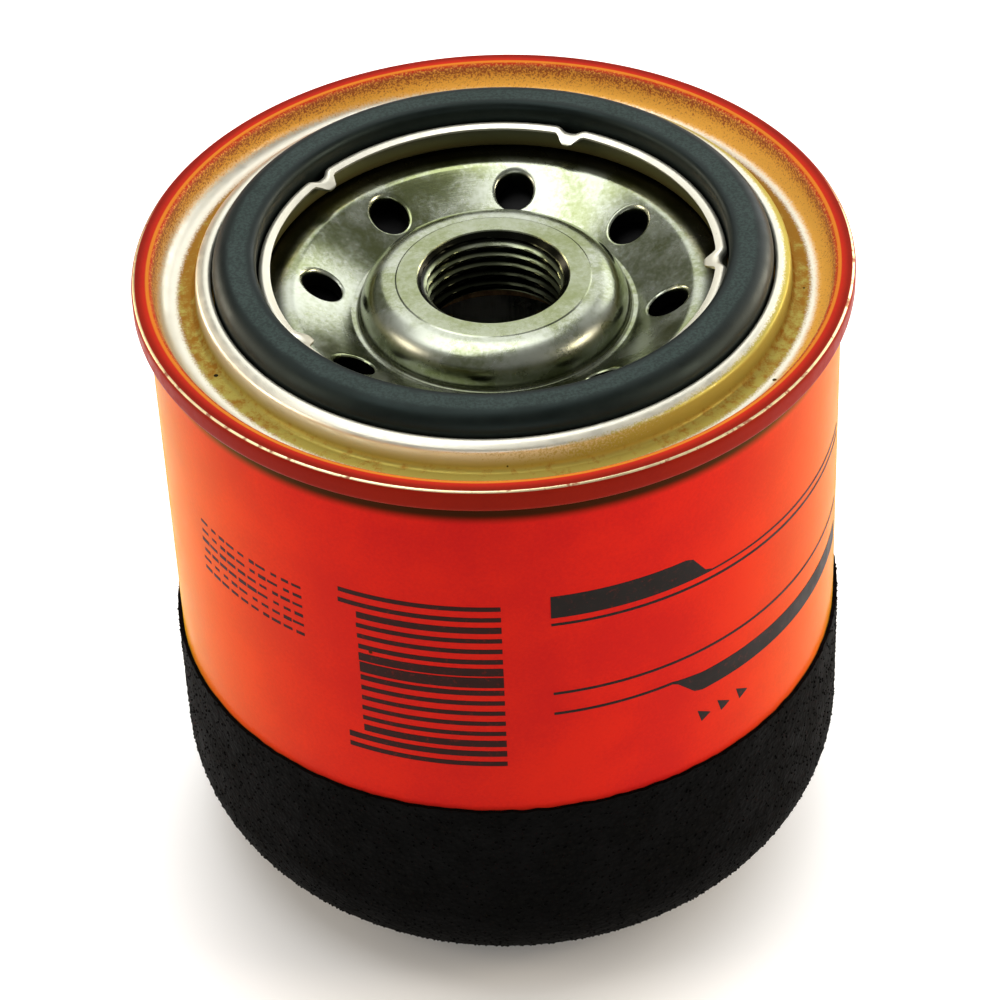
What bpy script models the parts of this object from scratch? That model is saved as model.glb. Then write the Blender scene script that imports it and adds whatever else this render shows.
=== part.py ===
"""Spin-on oil filter standing on its dome end, thread and gasket up, in metres."""
import math

import bmesh
import bpy
from mathutils import Matrix, Vector

MM = 0.001

# Facets around the axis
ROUND_STEPS = 42
INNER_STEPS = 30
SMALL_STEPS = 20

# Clearances between pieces that seat on each other
SEAT_GAP = 0.10 * MM
SEAM_GAP = 0.12 * MM
GASKET_SIDE_GAP = 0.25 * MM
BORE_SIDE_GAP = 0.40 * MM
TUBE_SIDE_GAP = 0.35 * MM
CAGE_SIDE_GAP = 0.15 * MM
STEM_SIDE_GAP = 0.35 * MM

# Canister
CAN_DIAMETER = 90.0 * MM
SEAM_TOP_HEIGHT = 91.0 * MM
CAN_SHEET = 0.45 * MM
DOME_CORNER_RADIUS = 16.0 * MM

# Grip coating
GRIP_HEIGHT = 35.4 * MM
GRIP_THICKNESS = 0.5 * MM

# Seaming lid
LID_SHEET = 0.45 * MM
SEAM_HEIGHT = 3.2 * MM
SEAM_ROUND = 0.6 * MM
LID_DEPTH = 3.4 * MM
LID_FLOOR_ROUND = 2.7 * MM
CHUCK_TAPER = 0.5 * MM
RIDGE_WIDTH = 2.0 * MM
RIDGE_RISE = 0.15 * MM
RIDGE_SLOPE = 0.25 * MM
RIDGE_ROUND = 0.9 * MM
LIP_RISE = 0.4 * MM
LIP_FLANGE_WIDTH = 1.4 * MM
LIP_FOLD_ROUND = 0.4 * MM
STAKE_COUNT = 5
STAKE_TURN = math.radians(-4.5)
STAKE_DEPTH = 1.1 * MM
STAKE_WIDTH = 3.6 * MM
STAKE_NOSE_WIDTH = 1.2 * MM
STAKE_HEIGHT = 1.2 * MM
STAKE_DROP = 0.1 * MM

# Sealing gasket
GASKET_OUTER_DIAMETER = 72.4 * MM
GASKET_WIDTH = 5.7 * MM
GASKET_HEIGHT = 6.0 * MM
GASKET_SHOULDER = 2.5 * MM
GASKET_ROUND = 1.0 * MM

# Base plate
PLATE_SHEET = 2.2 * MM
PLATE_EDGE_GAP = 3.55 * MM
HUB_DIAMETER = 35.0 * MM
VALLEY_WIDTH = 1.1 * MM
DISH_WIDTH = 7.6 * MM
HUB_ROUND = 4.2 * MM
VALLEY_DEPTH = 8.0 * MM
HUB_DEPTH = 3.0 * MM
THREAD_BORE_DIAMETER = 17.45 * MM
THREAD_MOUTH_CHAMFER = 1.25 * MM
THREAD_LENGTH = 9.0 * MM
INLET_COUNT = 8
INLET_DIAMETER = 6.0 * MM
INLET_CIRCLE_DIAMETER = 45.4 * MM
INLET_TURN = math.radians(36.6)

# Anti-drain-back valve
VALVE_COLLAR_HEIGHT = 3.0 * MM
VALVE_FLAP_THICKNESS = 1.2 * MM
VALVE_LIP_WIDTH = 2.2 * MM
VALVE_LIP_RISE = 0.7 * MM
VALVE_LIP_SET_OUT = 3.08 * MM

# Filter element
OIL_PASSAGE = 6.5 * MM
END_CAP_THICKNESS = 1.5 * MM
END_CAP_OVERHANG = 0.8 * MM
PLEAT_COUNT = 36
PAPER_THICKNESS = 0.7 * MM
PLEAT_FOLD_WIDTH = 0.9 * MM
CLIP_SHEET = 0.4 * MM
CLIP_REACH = 5.0 * MM
CLIP_END_MARGIN = 1.0 * MM
TUBE_DIAMETER = 30.0 * MM
TUBE_SHEET = 0.5 * MM
TUBE_HOLE_DIAMETER = 5.0 * MM
TUBE_HOLE_ROWS = 5
TUBE_HOLES_PER_ROW = 6

# Bypass valve
BYPASS_SHEET = 0.6 * MM
BYPASS_PORT_DIAMETER = 13.0 * MM
BYPASS_CAGE_DIAMETER = 22.0 * MM
BYPASS_CAGE_HEIGHT = 16.0 * MM
BYPASS_FLANGE_WIDTH = 4.6 * MM
BYPASS_WINDOW_WIDTH = 8.0 * MM
BYPASS_WINDOW_HEIGHT = 7.0 * MM
POPPET_OVERLAP = 2.6 * MM
POPPET_THICKNESS = 1.2 * MM
POPPET_STEM_DIAMETER = 4.0 * MM
POPPET_STEM_STICKOUT = 1.5 * MM
SEAL_THICKNESS = 0.8 * MM
SEAL_PORT_REACH = 0.65 * MM
BYPASS_COIL_DIAMETER = 10.0 * MM
BYPASS_WIRE = 0.9 * MM
BYPASS_TURNS = 5.0

# Element spring
SPRING_HEIGHT = 10.0 * MM
SPRING_WIRE = 1.8 * MM
SPRING_BOTTOM_DIAMETER = 40.0 * MM
SPRING_TOP_DIAMETER = 25.0 * MM
SPRING_TURNS = 3.0
POINTS_PER_TURN = 10
DEAD_TURN_SHARE = 0.5

# Cutters reach past what they cut by these factors
PUNCH_REACH = 4.0
WINDOW_REACH = 1.5

# Share of the seam pitch that rounds each fold of the hooks
HOOK_ROUND_SHARE = 0.98

# Share of its wall that the fillet at the lid's floor may take
FLOOR_ROUND_SHARE = 0.8

# Derived radii
CAN_OUTER_R = CAN_DIAMETER / 2
CAN_MID_R = CAN_OUTER_R - CAN_SHEET / 2
CAN_INNER_R = CAN_OUTER_R - CAN_SHEET
SEAM_PITCH = (CAN_SHEET + LID_SHEET) / 2 + SEAM_GAP
GASKET_OUTER_R = GASKET_OUTER_DIAMETER / 2
GASKET_INNER_DIAMETER = GASKET_OUTER_DIAMETER - 2 * GASKET_WIDTH
GASKET_INNER_R = GASKET_INNER_DIAMETER / 2
RIDGE_INNER_R = GASKET_OUTER_R + GASKET_SIDE_GAP
LIP_OUTER_R = GASKET_INNER_R - GASKET_SIDE_GAP
LIP_INNER_R = LIP_OUTER_R - LIP_FLANGE_WIDTH
PLATE_DIAMETER = 2 * (CAN_INNER_R - PLATE_EDGE_GAP)
PLATE_R = PLATE_DIAMETER / 2
BORE_R = THREAD_BORE_DIAMETER / 2
BORE_WALL_R = BORE_R + PLATE_SHEET
HUB_R = HUB_DIAMETER / 2
VALLEY_DIAMETER = HUB_DIAMETER + 2 * VALLEY_WIDTH
VALLEY_R = VALLEY_DIAMETER / 2
DISH_DIAMETER = VALLEY_DIAMETER + 2 * DISH_WIDTH
DISH_R = DISH_DIAMETER / 2
COLLAR_R = BORE_WALL_R + BORE_SIDE_GAP
CAP_OUTER_R = CAN_INNER_R - OIL_PASSAGE
MEDIA_OUTER_R = CAP_OUTER_R - END_CAP_OVERHANG
TUBE_OUTER_R = TUBE_DIAMETER / 2
TUBE_INNER_R = TUBE_OUTER_R - TUBE_SHEET
MEDIA_INNER_R = TUBE_OUTER_R + TUBE_SIDE_GAP
CAGE_OUTER_R = BYPASS_CAGE_DIAMETER / 2
CAGE_FLANGE_R = CAGE_OUTER_R + BYPASS_FLANGE_WIDTH
PORT_R = BYPASS_PORT_DIAMETER / 2
POPPET_R = PORT_R + POPPET_OVERLAP
STEM_R = POPPET_STEM_DIAMETER / 2

# Derived heights, from the gasket side down
LID_FLOOR_Z = SEAM_TOP_HEIGHT - LID_DEPTH
LIP_TOP_Z = SEAM_TOP_HEIGHT + LIP_RISE
PLATE_TOP_Z = LID_FLOOR_Z - LID_SHEET - SEAT_GAP
PLATE_BOTTOM_Z = PLATE_TOP_Z - PLATE_SHEET
VALLEY_Z = SEAM_TOP_HEIGHT - VALLEY_DEPTH
HUB_TOP_Z = SEAM_TOP_HEIGHT - HUB_DEPTH
BORE_END_Z = HUB_TOP_Z - THREAD_LENGTH
DISH_SLOPE = math.atan2(PLATE_TOP_Z - VALLEY_Z, DISH_R - VALLEY_R)
COLLAR_TOP_Z = VALLEY_Z - PLATE_SHEET - SEAT_GAP
COLLAR_BOTTOM_Z = COLLAR_TOP_Z - VALVE_COLLAR_HEIGHT
UPPER_CAP_TOP_Z = COLLAR_BOTTOM_Z - SEAT_GAP
MEDIA_TOP_Z = UPPER_CAP_TOP_Z - END_CAP_THICKNESS - SEAT_GAP

# Derived heights, from the dome end up
CAN_BOTTOM_Z = GRIP_THICKNESS + SEAT_GAP
DOME_FLOOR_Z = CAN_BOTTOM_Z + CAN_SHEET
SPRING_BOTTOM_Z = DOME_FLOOR_Z + SEAT_GAP
SPRING_TOP_Z = SPRING_BOTTOM_Z + SPRING_HEIGHT
SEAT_BOTTOM_Z = SPRING_TOP_Z + SEAT_GAP
SEAT_TOP_Z = SEAT_BOTTOM_Z + BYPASS_SHEET
CAGE_BOTTOM_Z = SEAT_TOP_Z + SEAT_GAP
CAGE_TOP_Z = CAGE_BOTTOM_Z + BYPASS_CAGE_HEIGHT
CAGE_FLANGE_TOP_Z = CAGE_BOTTOM_Z + BYPASS_SHEET
LOWER_CAP_BOTTOM_Z = CAGE_FLANGE_TOP_Z + SEAT_GAP
LOWER_CAP_TOP_Z = LOWER_CAP_BOTTOM_Z + END_CAP_THICKNESS
MEDIA_BOTTOM_Z = LOWER_CAP_TOP_Z + SEAT_GAP
SEAL_BOTTOM_Z = SEAT_TOP_Z + SEAT_GAP
POPPET_BOTTOM_Z = SEAL_BOTTOM_Z + SEAL_THICKNESS + SEAT_GAP
POPPET_TOP_Z = POPPET_BOTTOM_Z + POPPET_THICKNESS


def clear_scene():
    """Remove every object the start-up scene holds."""
    for item in list(bpy.data.objects):
        bpy.data.objects.remove(item, do_unlink=True)


def material(name, colour, roughness, metallic):
    """Make one Principled material."""
    made = bpy.data.materials.new(name)
    made.use_nodes = True
    shader = made.node_tree.nodes["Principled BSDF"]
    shader.inputs["Base Color"].default_value = (*colour, 1.0)
    shader.inputs["Roughness"].default_value = roughness
    shader.inputs["Metallic"].default_value = metallic
    made.diffuse_color = (*colour, 1.0)
    return made


def corner_arc(before, corner, after, radius, steps):
    """Points of the arc that rounds one corner of an outline."""
    into = (Vector(before) - Vector(corner)).normalized()
    out = (Vector(after) - Vector(corner)).normalized()
    half = into.angle(out) / 2
    reach = radius / math.tan(half)
    centre = Vector(corner) + (into + out).normalized() * (radius / math.sin(half))
    start = Vector(corner) + into * reach - centre
    end = Vector(corner) + out * reach - centre
    sweep = start.angle_signed(end)
    points = []
    for index in range(steps + 1):
        spoke = start.copy()
        spoke.rotate(Matrix.Rotation(-sweep * index / steps, 2))
        points.append(tuple(centre + spoke))
    return points


def rounded(corners, closed):
    """Turn (r, z, radius, steps) corners into an outline with arcs."""
    points = []
    last = len(corners) - 1
    for index, (r, z, radius, steps) in enumerate(corners):
        at_end = not closed and index in (0, last)
        if at_end or radius == 0:
            points.append((r, z))
            continue
        before = corners[index - 1][:2]
        after = corners[(index + 1) % len(corners)][:2]
        points.extend(corner_arc(before, (r, z), after, radius, steps))
    return points


def offset_path(path, distance):
    """Move an open path sideways, to its left for a positive distance."""
    moved = []
    for index, point in enumerate(path):
        here = Vector(point)
        ahead = Vector(path[min(index + 1, len(path) - 1)]) - here
        behind = here - Vector(path[max(index - 1, 0)])
        ahead = behind if ahead.length < 1e-9 else ahead
        behind = ahead if behind.length < 1e-9 else behind
        first = Vector((-behind.y, behind.x)).normalized()
        second = Vector((-ahead.y, ahead.x)).normalized()
        middle = (first + second).normalized()
        moved.append(tuple(here + middle * (distance / middle.dot(first))))
    return moved


def sheet_outline(path, thickness):
    """Closed outline of a bent sheet around its middle path."""
    near = offset_path(path, thickness / 2)
    far = offset_path(path, -thickness / 2)
    return near + far[::-1]


def add_mesh(name, bm, finish, smooth_angle=0.6):
    """Turn a bmesh into a named object with outward faces."""
    bmesh.ops.remove_doubles(bm, verts=bm.verts[:], dist=1e-7)
    bmesh.ops.recalc_face_normals(bm, faces=bm.faces[:])
    for face in bm.faces:
        face.smooth = True
    mesh = bpy.data.meshes.new(name)
    bm.to_mesh(mesh)
    bm.free()
    mesh.set_sharp_from_angle(angle=smooth_angle)
    made = bpy.data.objects.new(name, mesh)
    bpy.context.scene.collection.objects.link(made)
    if finish:
        mesh.materials.append(finish)
    return made


def revolve(name, outline, steps, finish):
    """Spin a closed (r, z) outline around the filter axis."""
    bm = bmesh.new()
    verts = [bm.verts.new((max(r, 0.0), 0.0, z)) for r, z in outline]
    edges = []
    for index, vert in enumerate(verts):
        following = verts[(index + 1) % len(verts)]
        if vert.co.x > 1e-9 or following.co.x > 1e-9:
            edges.append(bm.edges.new((vert, following)))
    bmesh.ops.spin(bm, geom=verts + edges, cent=(0, 0, 0), axis=(0, 0, 1),
                   angle=math.tau, steps=steps, use_merge=True)
    return add_mesh(name, bm, finish)


def add_cutter(name, bm):
    """Make a hidden wire object that only cuts or adds to others."""
    cutter = add_mesh(name, bm, None)
    cutter.hide_render = True
    cutter.display_type = "WIRE"
    return cutter


def combine(target, other, operation):
    """Put one exact Boolean on a piece."""
    modifier = target.modifiers.new(other.name, "BOOLEAN")
    modifier.solver = "EXACT"
    modifier.operation = operation
    modifier.object = other


def around(bm_maker, count, turn):
    """Repeat a shape around the axis in one bmesh."""
    bm = bmesh.new()
    for index in range(count):
        spin = Matrix.Rotation(turn + math.tau * index / count, 4, "Z")
        bm_maker(bm, spin)
    return bm


def build_canister(finish):
    """Drawn can: dome end, wall and the flange hooked into the seam."""
    hook_top = SEAM_TOP_HEIGHT - LID_SHEET / 2 - SEAM_PITCH
    hook_end = SEAM_TOP_HEIGHT - SEAM_HEIGHT + LID_SHEET / 2 + SEAM_PITCH + SEAM_GAP
    bottom = CAN_BOTTOM_Z + CAN_SHEET / 2
    corner = DOME_CORNER_RADIUS - CAN_SHEET / 2
    path = rounded([
        (0.0, bottom, 0, 0),
        (CAN_MID_R, bottom, corner, 5),
        (CAN_MID_R, hook_top, SEAM_PITCH * HOOK_ROUND_SHARE, 1),
        (CAN_MID_R + 2 * SEAM_PITCH, hook_top, SEAM_PITCH * HOOK_ROUND_SHARE, 1),
        (CAN_MID_R + 2 * SEAM_PITCH, hook_end, 0, 0),
    ], closed=False)
    return revolve("canister", sheet_outline(path, CAN_SHEET), ROUND_STEPS, finish)


def build_grip_coating(finish):
    """Thin cup of grip coat over the dome end."""
    inner_r = CAN_OUTER_R + SEAT_GAP
    inner_corner = DOME_CORNER_RADIUS + SEAT_GAP
    path = rounded([
        (0.0, GRIP_THICKNESS / 2, 0, 0),
        (inner_r + GRIP_THICKNESS / 2, GRIP_THICKNESS / 2, inner_corner + GRIP_THICKNESS / 2, 5),
        (inner_r + GRIP_THICKNESS / 2, GRIP_HEIGHT, 0, 0),
    ], closed=False)
    return revolve("grip_coating", sheet_outline(path, GRIP_THICKNESS), ROUND_STEPS, finish)


def stake_wedge(bm, spin, shift, bottom, top):
    """One wedge across the lid's lip, moved outward by a shift."""
    base = LIP_OUTER_R - LID_SHEET / 2 + shift
    nose = LIP_INNER_R - STAKE_DEPTH + shift
    plan = [(base, -STAKE_WIDTH / 2), (base, STAKE_WIDTH / 2),
            (nose, STAKE_NOSE_WIDTH / 2), (nose, -STAKE_NOSE_WIDTH / 2)]
    low = [bm.verts.new(spin @ Vector((x, y, bottom))) for x, y in plan]
    high = [bm.verts.new(spin @ Vector((x, y, top))) for x, y in plan]
    bm.faces.new(low)
    bm.faces.new(high)
    for index in range(len(plan)):
        after = (index + 1) % len(plan)
        bm.faces.new((low[index], low[after], high[after], high[index]))


def stake_block(bm, spin):
    """Outside of one stake, pressed inward from the lip."""
    top = LIP_TOP_Z - STAKE_DROP
    stake_wedge(bm, spin, 0.0, top - STAKE_HEIGHT, top)


def stake_pocket(bm, spin):
    """Hollow that the punch leaves behind one stake."""
    bottom = LIP_TOP_Z - STAKE_DROP - STAKE_HEIGHT + LID_SHEET
    stake_wedge(bm, spin, LID_SHEET, bottom, LIP_TOP_Z + LIP_RISE)


def build_seaming_lid(finish):
    """Thin lid ring: cover hook, seam, gasket channel and staked lip."""
    hook_end = SEAM_TOP_HEIGHT - LID_SHEET / 2 - 2 * SEAM_PITCH
    seam_bottom = SEAM_TOP_HEIGHT - SEAM_HEIGHT + LID_SHEET / 2
    seam_top = SEAM_TOP_HEIGHT - LID_SHEET / 2
    floor = LID_FLOOR_Z - LID_SHEET / 2
    ridge_out = RIDGE_INNER_R + RIDGE_WIDTH - LID_SHEET / 2
    ridge_in = RIDGE_INNER_R + LID_SHEET / 2
    ridge_top = seam_top + RIDGE_RISE
    ridge_foot = ridge_out + RIDGE_SLOPE
    lip = LIP_OUTER_R - LID_SHEET / 2
    lip_top = LIP_TOP_Z - LID_SHEET / 2
    chuck = CAN_MID_R - SEAM_PITCH
    chuck_foot = chuck - CHUCK_TAPER
    room = min(chuck_foot - ridge_foot, LID_DEPTH) * FLOOR_ROUND_SHARE
    path = rounded([
        (CAN_MID_R + SEAM_PITCH, hook_end, 0, 0),
        (CAN_MID_R + SEAM_PITCH, seam_bottom, SEAM_PITCH * HOOK_ROUND_SHARE, 1),
        (CAN_MID_R + 3 * SEAM_PITCH, seam_bottom, SEAM_PITCH * HOOK_ROUND_SHARE, 1),
        (CAN_MID_R + 3 * SEAM_PITCH, seam_top, SEAM_ROUND, 1),
        (chuck, seam_top, SEAM_ROUND, 1),
        (chuck_foot, floor, min(LID_FLOOR_ROUND, room), 3),
        (ridge_foot, floor, 0, 0),
        (ridge_out, ridge_top, RIDGE_ROUND, 3),
        (ridge_in, ridge_top, 0, 0),
        (ridge_in, floor, 0, 0),
        (lip, floor, 0, 0),
        (lip, lip_top, LIP_FOLD_ROUND, 2),
        (LIP_INNER_R, lip_top, 0, 0),
    ], closed=False)
    lid = revolve("seaming_lid", sheet_outline(path, LID_SHEET), ROUND_STEPS, finish)
    blocks = add_cutter("stake_blocks", around(stake_block, STAKE_COUNT, STAKE_TURN))
    combine(lid, blocks, "UNION")
    pockets = add_cutter("stake_pockets", around(stake_pocket, STAKE_COUNT, STAKE_TURN))
    combine(lid, pockets, "DIFFERENCE")
    return lid


def build_sealing_gasket(finish):
    """Rubber ring with a flat sealing land, rounder on its outer shoulder."""
    bottom = LID_FLOOR_Z + SEAT_GAP
    top = bottom + GASKET_HEIGHT
    outline = rounded([
        (GASKET_INNER_R, bottom, 0, 0),
        (GASKET_OUTER_R, bottom, 0, 0),
        (GASKET_OUTER_R, top, GASKET_SHOULDER, 3),
        (GASKET_INNER_R, top, GASKET_ROUND, 2),
    ], closed=True)
    return revolve("sealing_gasket", outline, ROUND_STEPS, finish)


def inlet_shape(bm, spin):
    """One round punch through the dished part of the plate."""
    circle_r = INLET_CIRCLE_DIAMETER / 2
    height = PLATE_TOP_Z - (DISH_R - circle_r) * math.tan(DISH_SLOPE)
    place = Matrix.Translation((circle_r, 0, height))
    tilt = Matrix.Rotation(-DISH_SLOPE, 4, "Y")
    bmesh.ops.create_cone(bm, segments=14, radius1=INLET_DIAMETER / 2, radius2=INLET_DIAMETER / 2,
                          depth=PLATE_SHEET * PUNCH_REACH, cap_ends=True, matrix=spin @ place @ tilt)


def build_base_plate(finish):
    """Stamped plate with a dished ring of inlets and a drawn threaded hub."""
    shift = PLATE_SHEET * math.tan(DISH_SLOPE / 2)
    under_hub = HUB_TOP_Z - PLATE_SHEET
    mouth_r = BORE_R + THREAD_MOUTH_CHAMFER
    outline = rounded([
        (PLATE_R, PLATE_TOP_Z, 0, 0),
        (DISH_R, PLATE_TOP_Z, PLATE_SHEET, 2),
        (VALLEY_R, VALLEY_Z, 0, 0),
        (HUB_R, VALLEY_Z, 0, 0),
        (HUB_R, HUB_TOP_Z, HUB_ROUND, 3),
        (mouth_r, HUB_TOP_Z, 0, 0),
        (BORE_R, HUB_TOP_Z - THREAD_MOUTH_CHAMFER, 0, 0),
        (BORE_R, BORE_END_Z, 0, 0),
        (BORE_WALL_R, BORE_END_Z, 0, 0),
        (BORE_WALL_R, under_hub, 0, 0),
        (HUB_R - PLATE_SHEET, under_hub, (HUB_ROUND - PLATE_SHEET), 2),
        (HUB_R - PLATE_SHEET, VALLEY_Z - PLATE_SHEET, 0, 0),
        (VALLEY_R + shift, VALLEY_Z - PLATE_SHEET, 0, 0),
        (DISH_R + shift, PLATE_BOTTOM_Z, 0, 0),
        (PLATE_R, PLATE_BOTTOM_Z, 0, 0),
    ], closed=True)
    plate = revolve("base_plate", outline, ROUND_STEPS, finish)
    punches = add_cutter("inlet_punches", around(inlet_shape, INLET_COUNT, INLET_TURN))
    combine(plate, punches, "DIFFERENCE")
    return plate


def build_anti_drain_valve(finish):
    """Rubber collar under the hub with a flap up to the plate's underside."""
    lip_top = PLATE_BOTTOM_Z - SEAT_GAP
    lip_in = DISH_R + VALVE_LIP_SET_OUT
    lip_out = lip_in + VALVE_LIP_WIDTH
    flap_out = lip_top - VALVE_LIP_RISE
    flap_in = COLLAR_TOP_Z - VALVE_LIP_RISE
    outline = rounded([
        (COLLAR_R, COLLAR_TOP_Z, 0, 0),
        (VALLEY_R, COLLAR_TOP_Z, 0, 0),
        (VALLEY_R, flap_in, 0, 0),
        (lip_in, flap_out, 0, 0),
        (lip_in + VALVE_LIP_RISE, lip_top, 0, 0),
        (lip_out, lip_top, 0, 0),
        (lip_out, flap_out - VALVE_FLAP_THICKNESS, 0, 0),
        (lip_in, flap_out - VALVE_FLAP_THICKNESS, 0, 0),
        (VALLEY_R + VALVE_FLAP_THICKNESS, flap_in - VALVE_FLAP_THICKNESS, 0, 0),
        (VALLEY_R + VALVE_FLAP_THICKNESS, COLLAR_BOTTOM_Z, 0, 0),
        (COLLAR_R, COLLAR_BOTTOM_Z, 0, 0),
    ], closed=True)
    return revolve("anti_drain_valve", outline, INNER_STEPS, finish)


def build_end_cap(name, inner_r, bottom, finish):
    """Flat fibre disc with a centre hole."""
    top = bottom + END_CAP_THICKNESS
    outline = [(inner_r, bottom), (CAP_OUTER_R, bottom), (CAP_OUTER_R, top), (inner_r, top)]
    return revolve(name, outline, INNER_STEPS, finish)


def pleat_corner(index, radius, side):
    """Plan point beside a fold line, on its left or right."""
    angle = math.pi * index / PLEAT_COUNT
    along = Vector((math.cos(angle), math.sin(angle)))
    across = Vector((-math.sin(angle), math.cos(angle)))
    return along * radius + across * (side * PLEAT_FOLD_WIDTH / 2)


def pleat_path():
    """Closed plan path through the middle of the folded paper."""
    half = PAPER_THICKNESS / 2
    points = []
    for index in range(2 * PLEAT_COUNT):
        radius = MEDIA_OUTER_R - half if index % 2 == 0 else MEDIA_INNER_R + half
        points.append(pleat_corner(index, radius, -1))
        points.append(pleat_corner(index, radius, 1))
    return points


def wall_from_plan(name, outer, inner, bottom, top, finish, closed):
    """Raise a strip between two plan lines into a closed solid."""
    bm = bmesh.new()
    rings = []
    for line, height in ((outer, bottom), (outer, top), (inner, top), (inner, bottom)):
        rings.append([bm.verts.new((point[0], point[1], height)) for point in line])
    count = len(outer)
    last = count if closed else count - 1
    for ring, following in zip(rings, rings[1:] + rings[:1]):
        for index in range(last):
            after = (index + 1) % count
            bm.faces.new((ring[index], ring[after], following[after], following[index]))
    if not closed:
        bm.faces.new([ring[0] for ring in rings])
        bm.faces.new([ring[-1] for ring in rings])
    return add_mesh(name, bm, finish, smooth_angle=0.3)


def build_pleated_media(finish):
    """Folded paper ring between the end caps."""
    path = pleat_path()
    looped = [path[-1]] + path + [path[0]]
    outer = offset_path(looped, -PAPER_THICKNESS / 2)[1:-1]
    inner = offset_path(looped, PAPER_THICKNESS / 2)[1:-1]
    return wall_from_plan("pleated_media", outer, inner, MEDIA_BOTTOM_Z, MEDIA_TOP_Z, finish, True)


def build_media_clip(finish):
    """Steel strip folded over one outer fold of the paper."""
    path = pleat_path()
    near = [Vector(path[-1]), Vector(path[0]), Vector(path[1]), Vector(path[2])]
    legs = (near[0] - near[1]).normalized() * CLIP_REACH
    legs_back = (near[3] - near[2]).normalized() * CLIP_REACH
    strip = [near[1] + legs, near[1], near[2], near[2] + legs_back]
    inner = offset_path(strip, -(PAPER_THICKNESS / 2 + SEAT_GAP))
    outer = offset_path(strip, -(PAPER_THICKNESS / 2 + SEAT_GAP + CLIP_SHEET))
    return wall_from_plan("media_clip", outer, inner, MEDIA_BOTTOM_Z + CLIP_END_MARGIN,
                          MEDIA_TOP_Z - CLIP_END_MARGIN, finish, False)


def tube_hole_cutter():
    """Staggered rows of short round punches through the tube wall."""
    bm = bmesh.new()
    pitch = (MEDIA_TOP_Z - MEDIA_BOTTOM_Z) / TUBE_HOLE_ROWS
    for row in range(TUBE_HOLE_ROWS):
        height = MEDIA_BOTTOM_Z + pitch * (row + 0.5)
        for index in range(TUBE_HOLES_PER_ROW):
            turn = math.tau * (index + 0.5 * (row % 2)) / TUBE_HOLES_PER_ROW
            spin = Matrix.Rotation(turn, 4, "Z")
            place = Matrix.Translation((TUBE_OUTER_R, 0, height))
            tilt = Matrix.Rotation(math.pi / 2, 4, "Y")
            bmesh.ops.create_cone(bm, segments=8, radius1=TUBE_HOLE_DIAMETER / 2,
                                  radius2=TUBE_HOLE_DIAMETER / 2, depth=TUBE_SHEET * 2 * PUNCH_REACH,
                                  cap_ends=True, matrix=spin @ place @ tilt)
    return add_cutter("tube_punches", bm)


def build_center_tube(finish):
    """Perforated tube that carries the pleats."""
    outline = [(TUBE_INNER_R, MEDIA_BOTTOM_Z), (TUBE_OUTER_R, MEDIA_BOTTOM_Z),
               (TUBE_OUTER_R, MEDIA_TOP_Z), (TUBE_INNER_R, MEDIA_TOP_Z)]
    tube = revolve("center_tube", outline, INNER_STEPS, finish)
    combine(tube, tube_hole_cutter(), "DIFFERENCE")
    return tube


def build_bypass_seat(finish):
    """Seat plate with the bypass port and a crimped rim."""
    middle = SEAT_BOTTOM_Z + BYPASS_SHEET / 2
    rim = CAGE_FLANGE_R + CAGE_SIDE_GAP + BYPASS_SHEET / 2
    path = [(PORT_R, middle), (rim, middle), (rim, CAGE_FLANGE_TOP_Z)]
    return revolve("bypass_seat", sheet_outline(path, BYPASS_SHEET), SMALL_STEPS, finish)


def window_cutter(name, turn):
    """Long box that opens two facing windows in the cage."""
    bm = bmesh.new()
    height = CAGE_TOP_Z - BYPASS_SHEET * 2 - BYPASS_WINDOW_HEIGHT / 2
    size = Matrix.Diagonal((BYPASS_CAGE_DIAMETER * WINDOW_REACH, BYPASS_WINDOW_WIDTH, BYPASS_WINDOW_HEIGHT, 1.0))
    place = Matrix.Translation((0, 0, height))
    bmesh.ops.create_cube(bm, size=1.0, matrix=Matrix.Rotation(turn, 4, "Z") @ place @ size)
    return add_cutter(name, bm)


def build_bypass_cage(finish):
    """Stamped cage with a flange, four windows and the stem guide hole."""
    low = CAGE_BOTTOM_Z + BYPASS_SHEET / 2
    high = CAGE_TOP_Z - BYPASS_SHEET / 2
    wall = CAGE_OUTER_R - BYPASS_SHEET / 2
    path = [(CAGE_FLANGE_R, low), (wall, low), (wall, high), (STEM_R + STEM_SIDE_GAP, high)]
    cage = revolve("bypass_cage", sheet_outline(path, BYPASS_SHEET), SMALL_STEPS, finish)
    combine(cage, window_cutter("window_punch_a", math.pi / SMALL_STEPS), "DIFFERENCE")
    combine(cage, window_cutter("window_punch_b", math.pi / SMALL_STEPS + math.pi / 2), "DIFFERENCE")
    return cage


def build_bypass_poppet(finish):
    """Valve disc with a guide stem through the cage."""
    stem_top = CAGE_TOP_Z + POPPET_STEM_STICKOUT
    outline = [(0.0, POPPET_BOTTOM_Z), (POPPET_R, POPPET_BOTTOM_Z), (POPPET_R, POPPET_TOP_Z),
               (STEM_R, POPPET_TOP_Z), (STEM_R, stem_top), (0.0, stem_top)]
    return revolve("bypass_poppet", outline, SMALL_STEPS, finish)


def build_bypass_seal(finish):
    """Flat rubber washer under the valve disc."""
    top = SEAL_BOTTOM_Z + SEAL_THICKNESS
    inner_r = PORT_R - SEAL_PORT_REACH
    outline = [(inner_r, SEAL_BOTTOM_Z), (POPPET_R, SEAL_BOTTOM_Z), (POPPET_R, top), (inner_r, top)]
    return revolve("bypass_seal", outline, SMALL_STEPS, finish)


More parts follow.
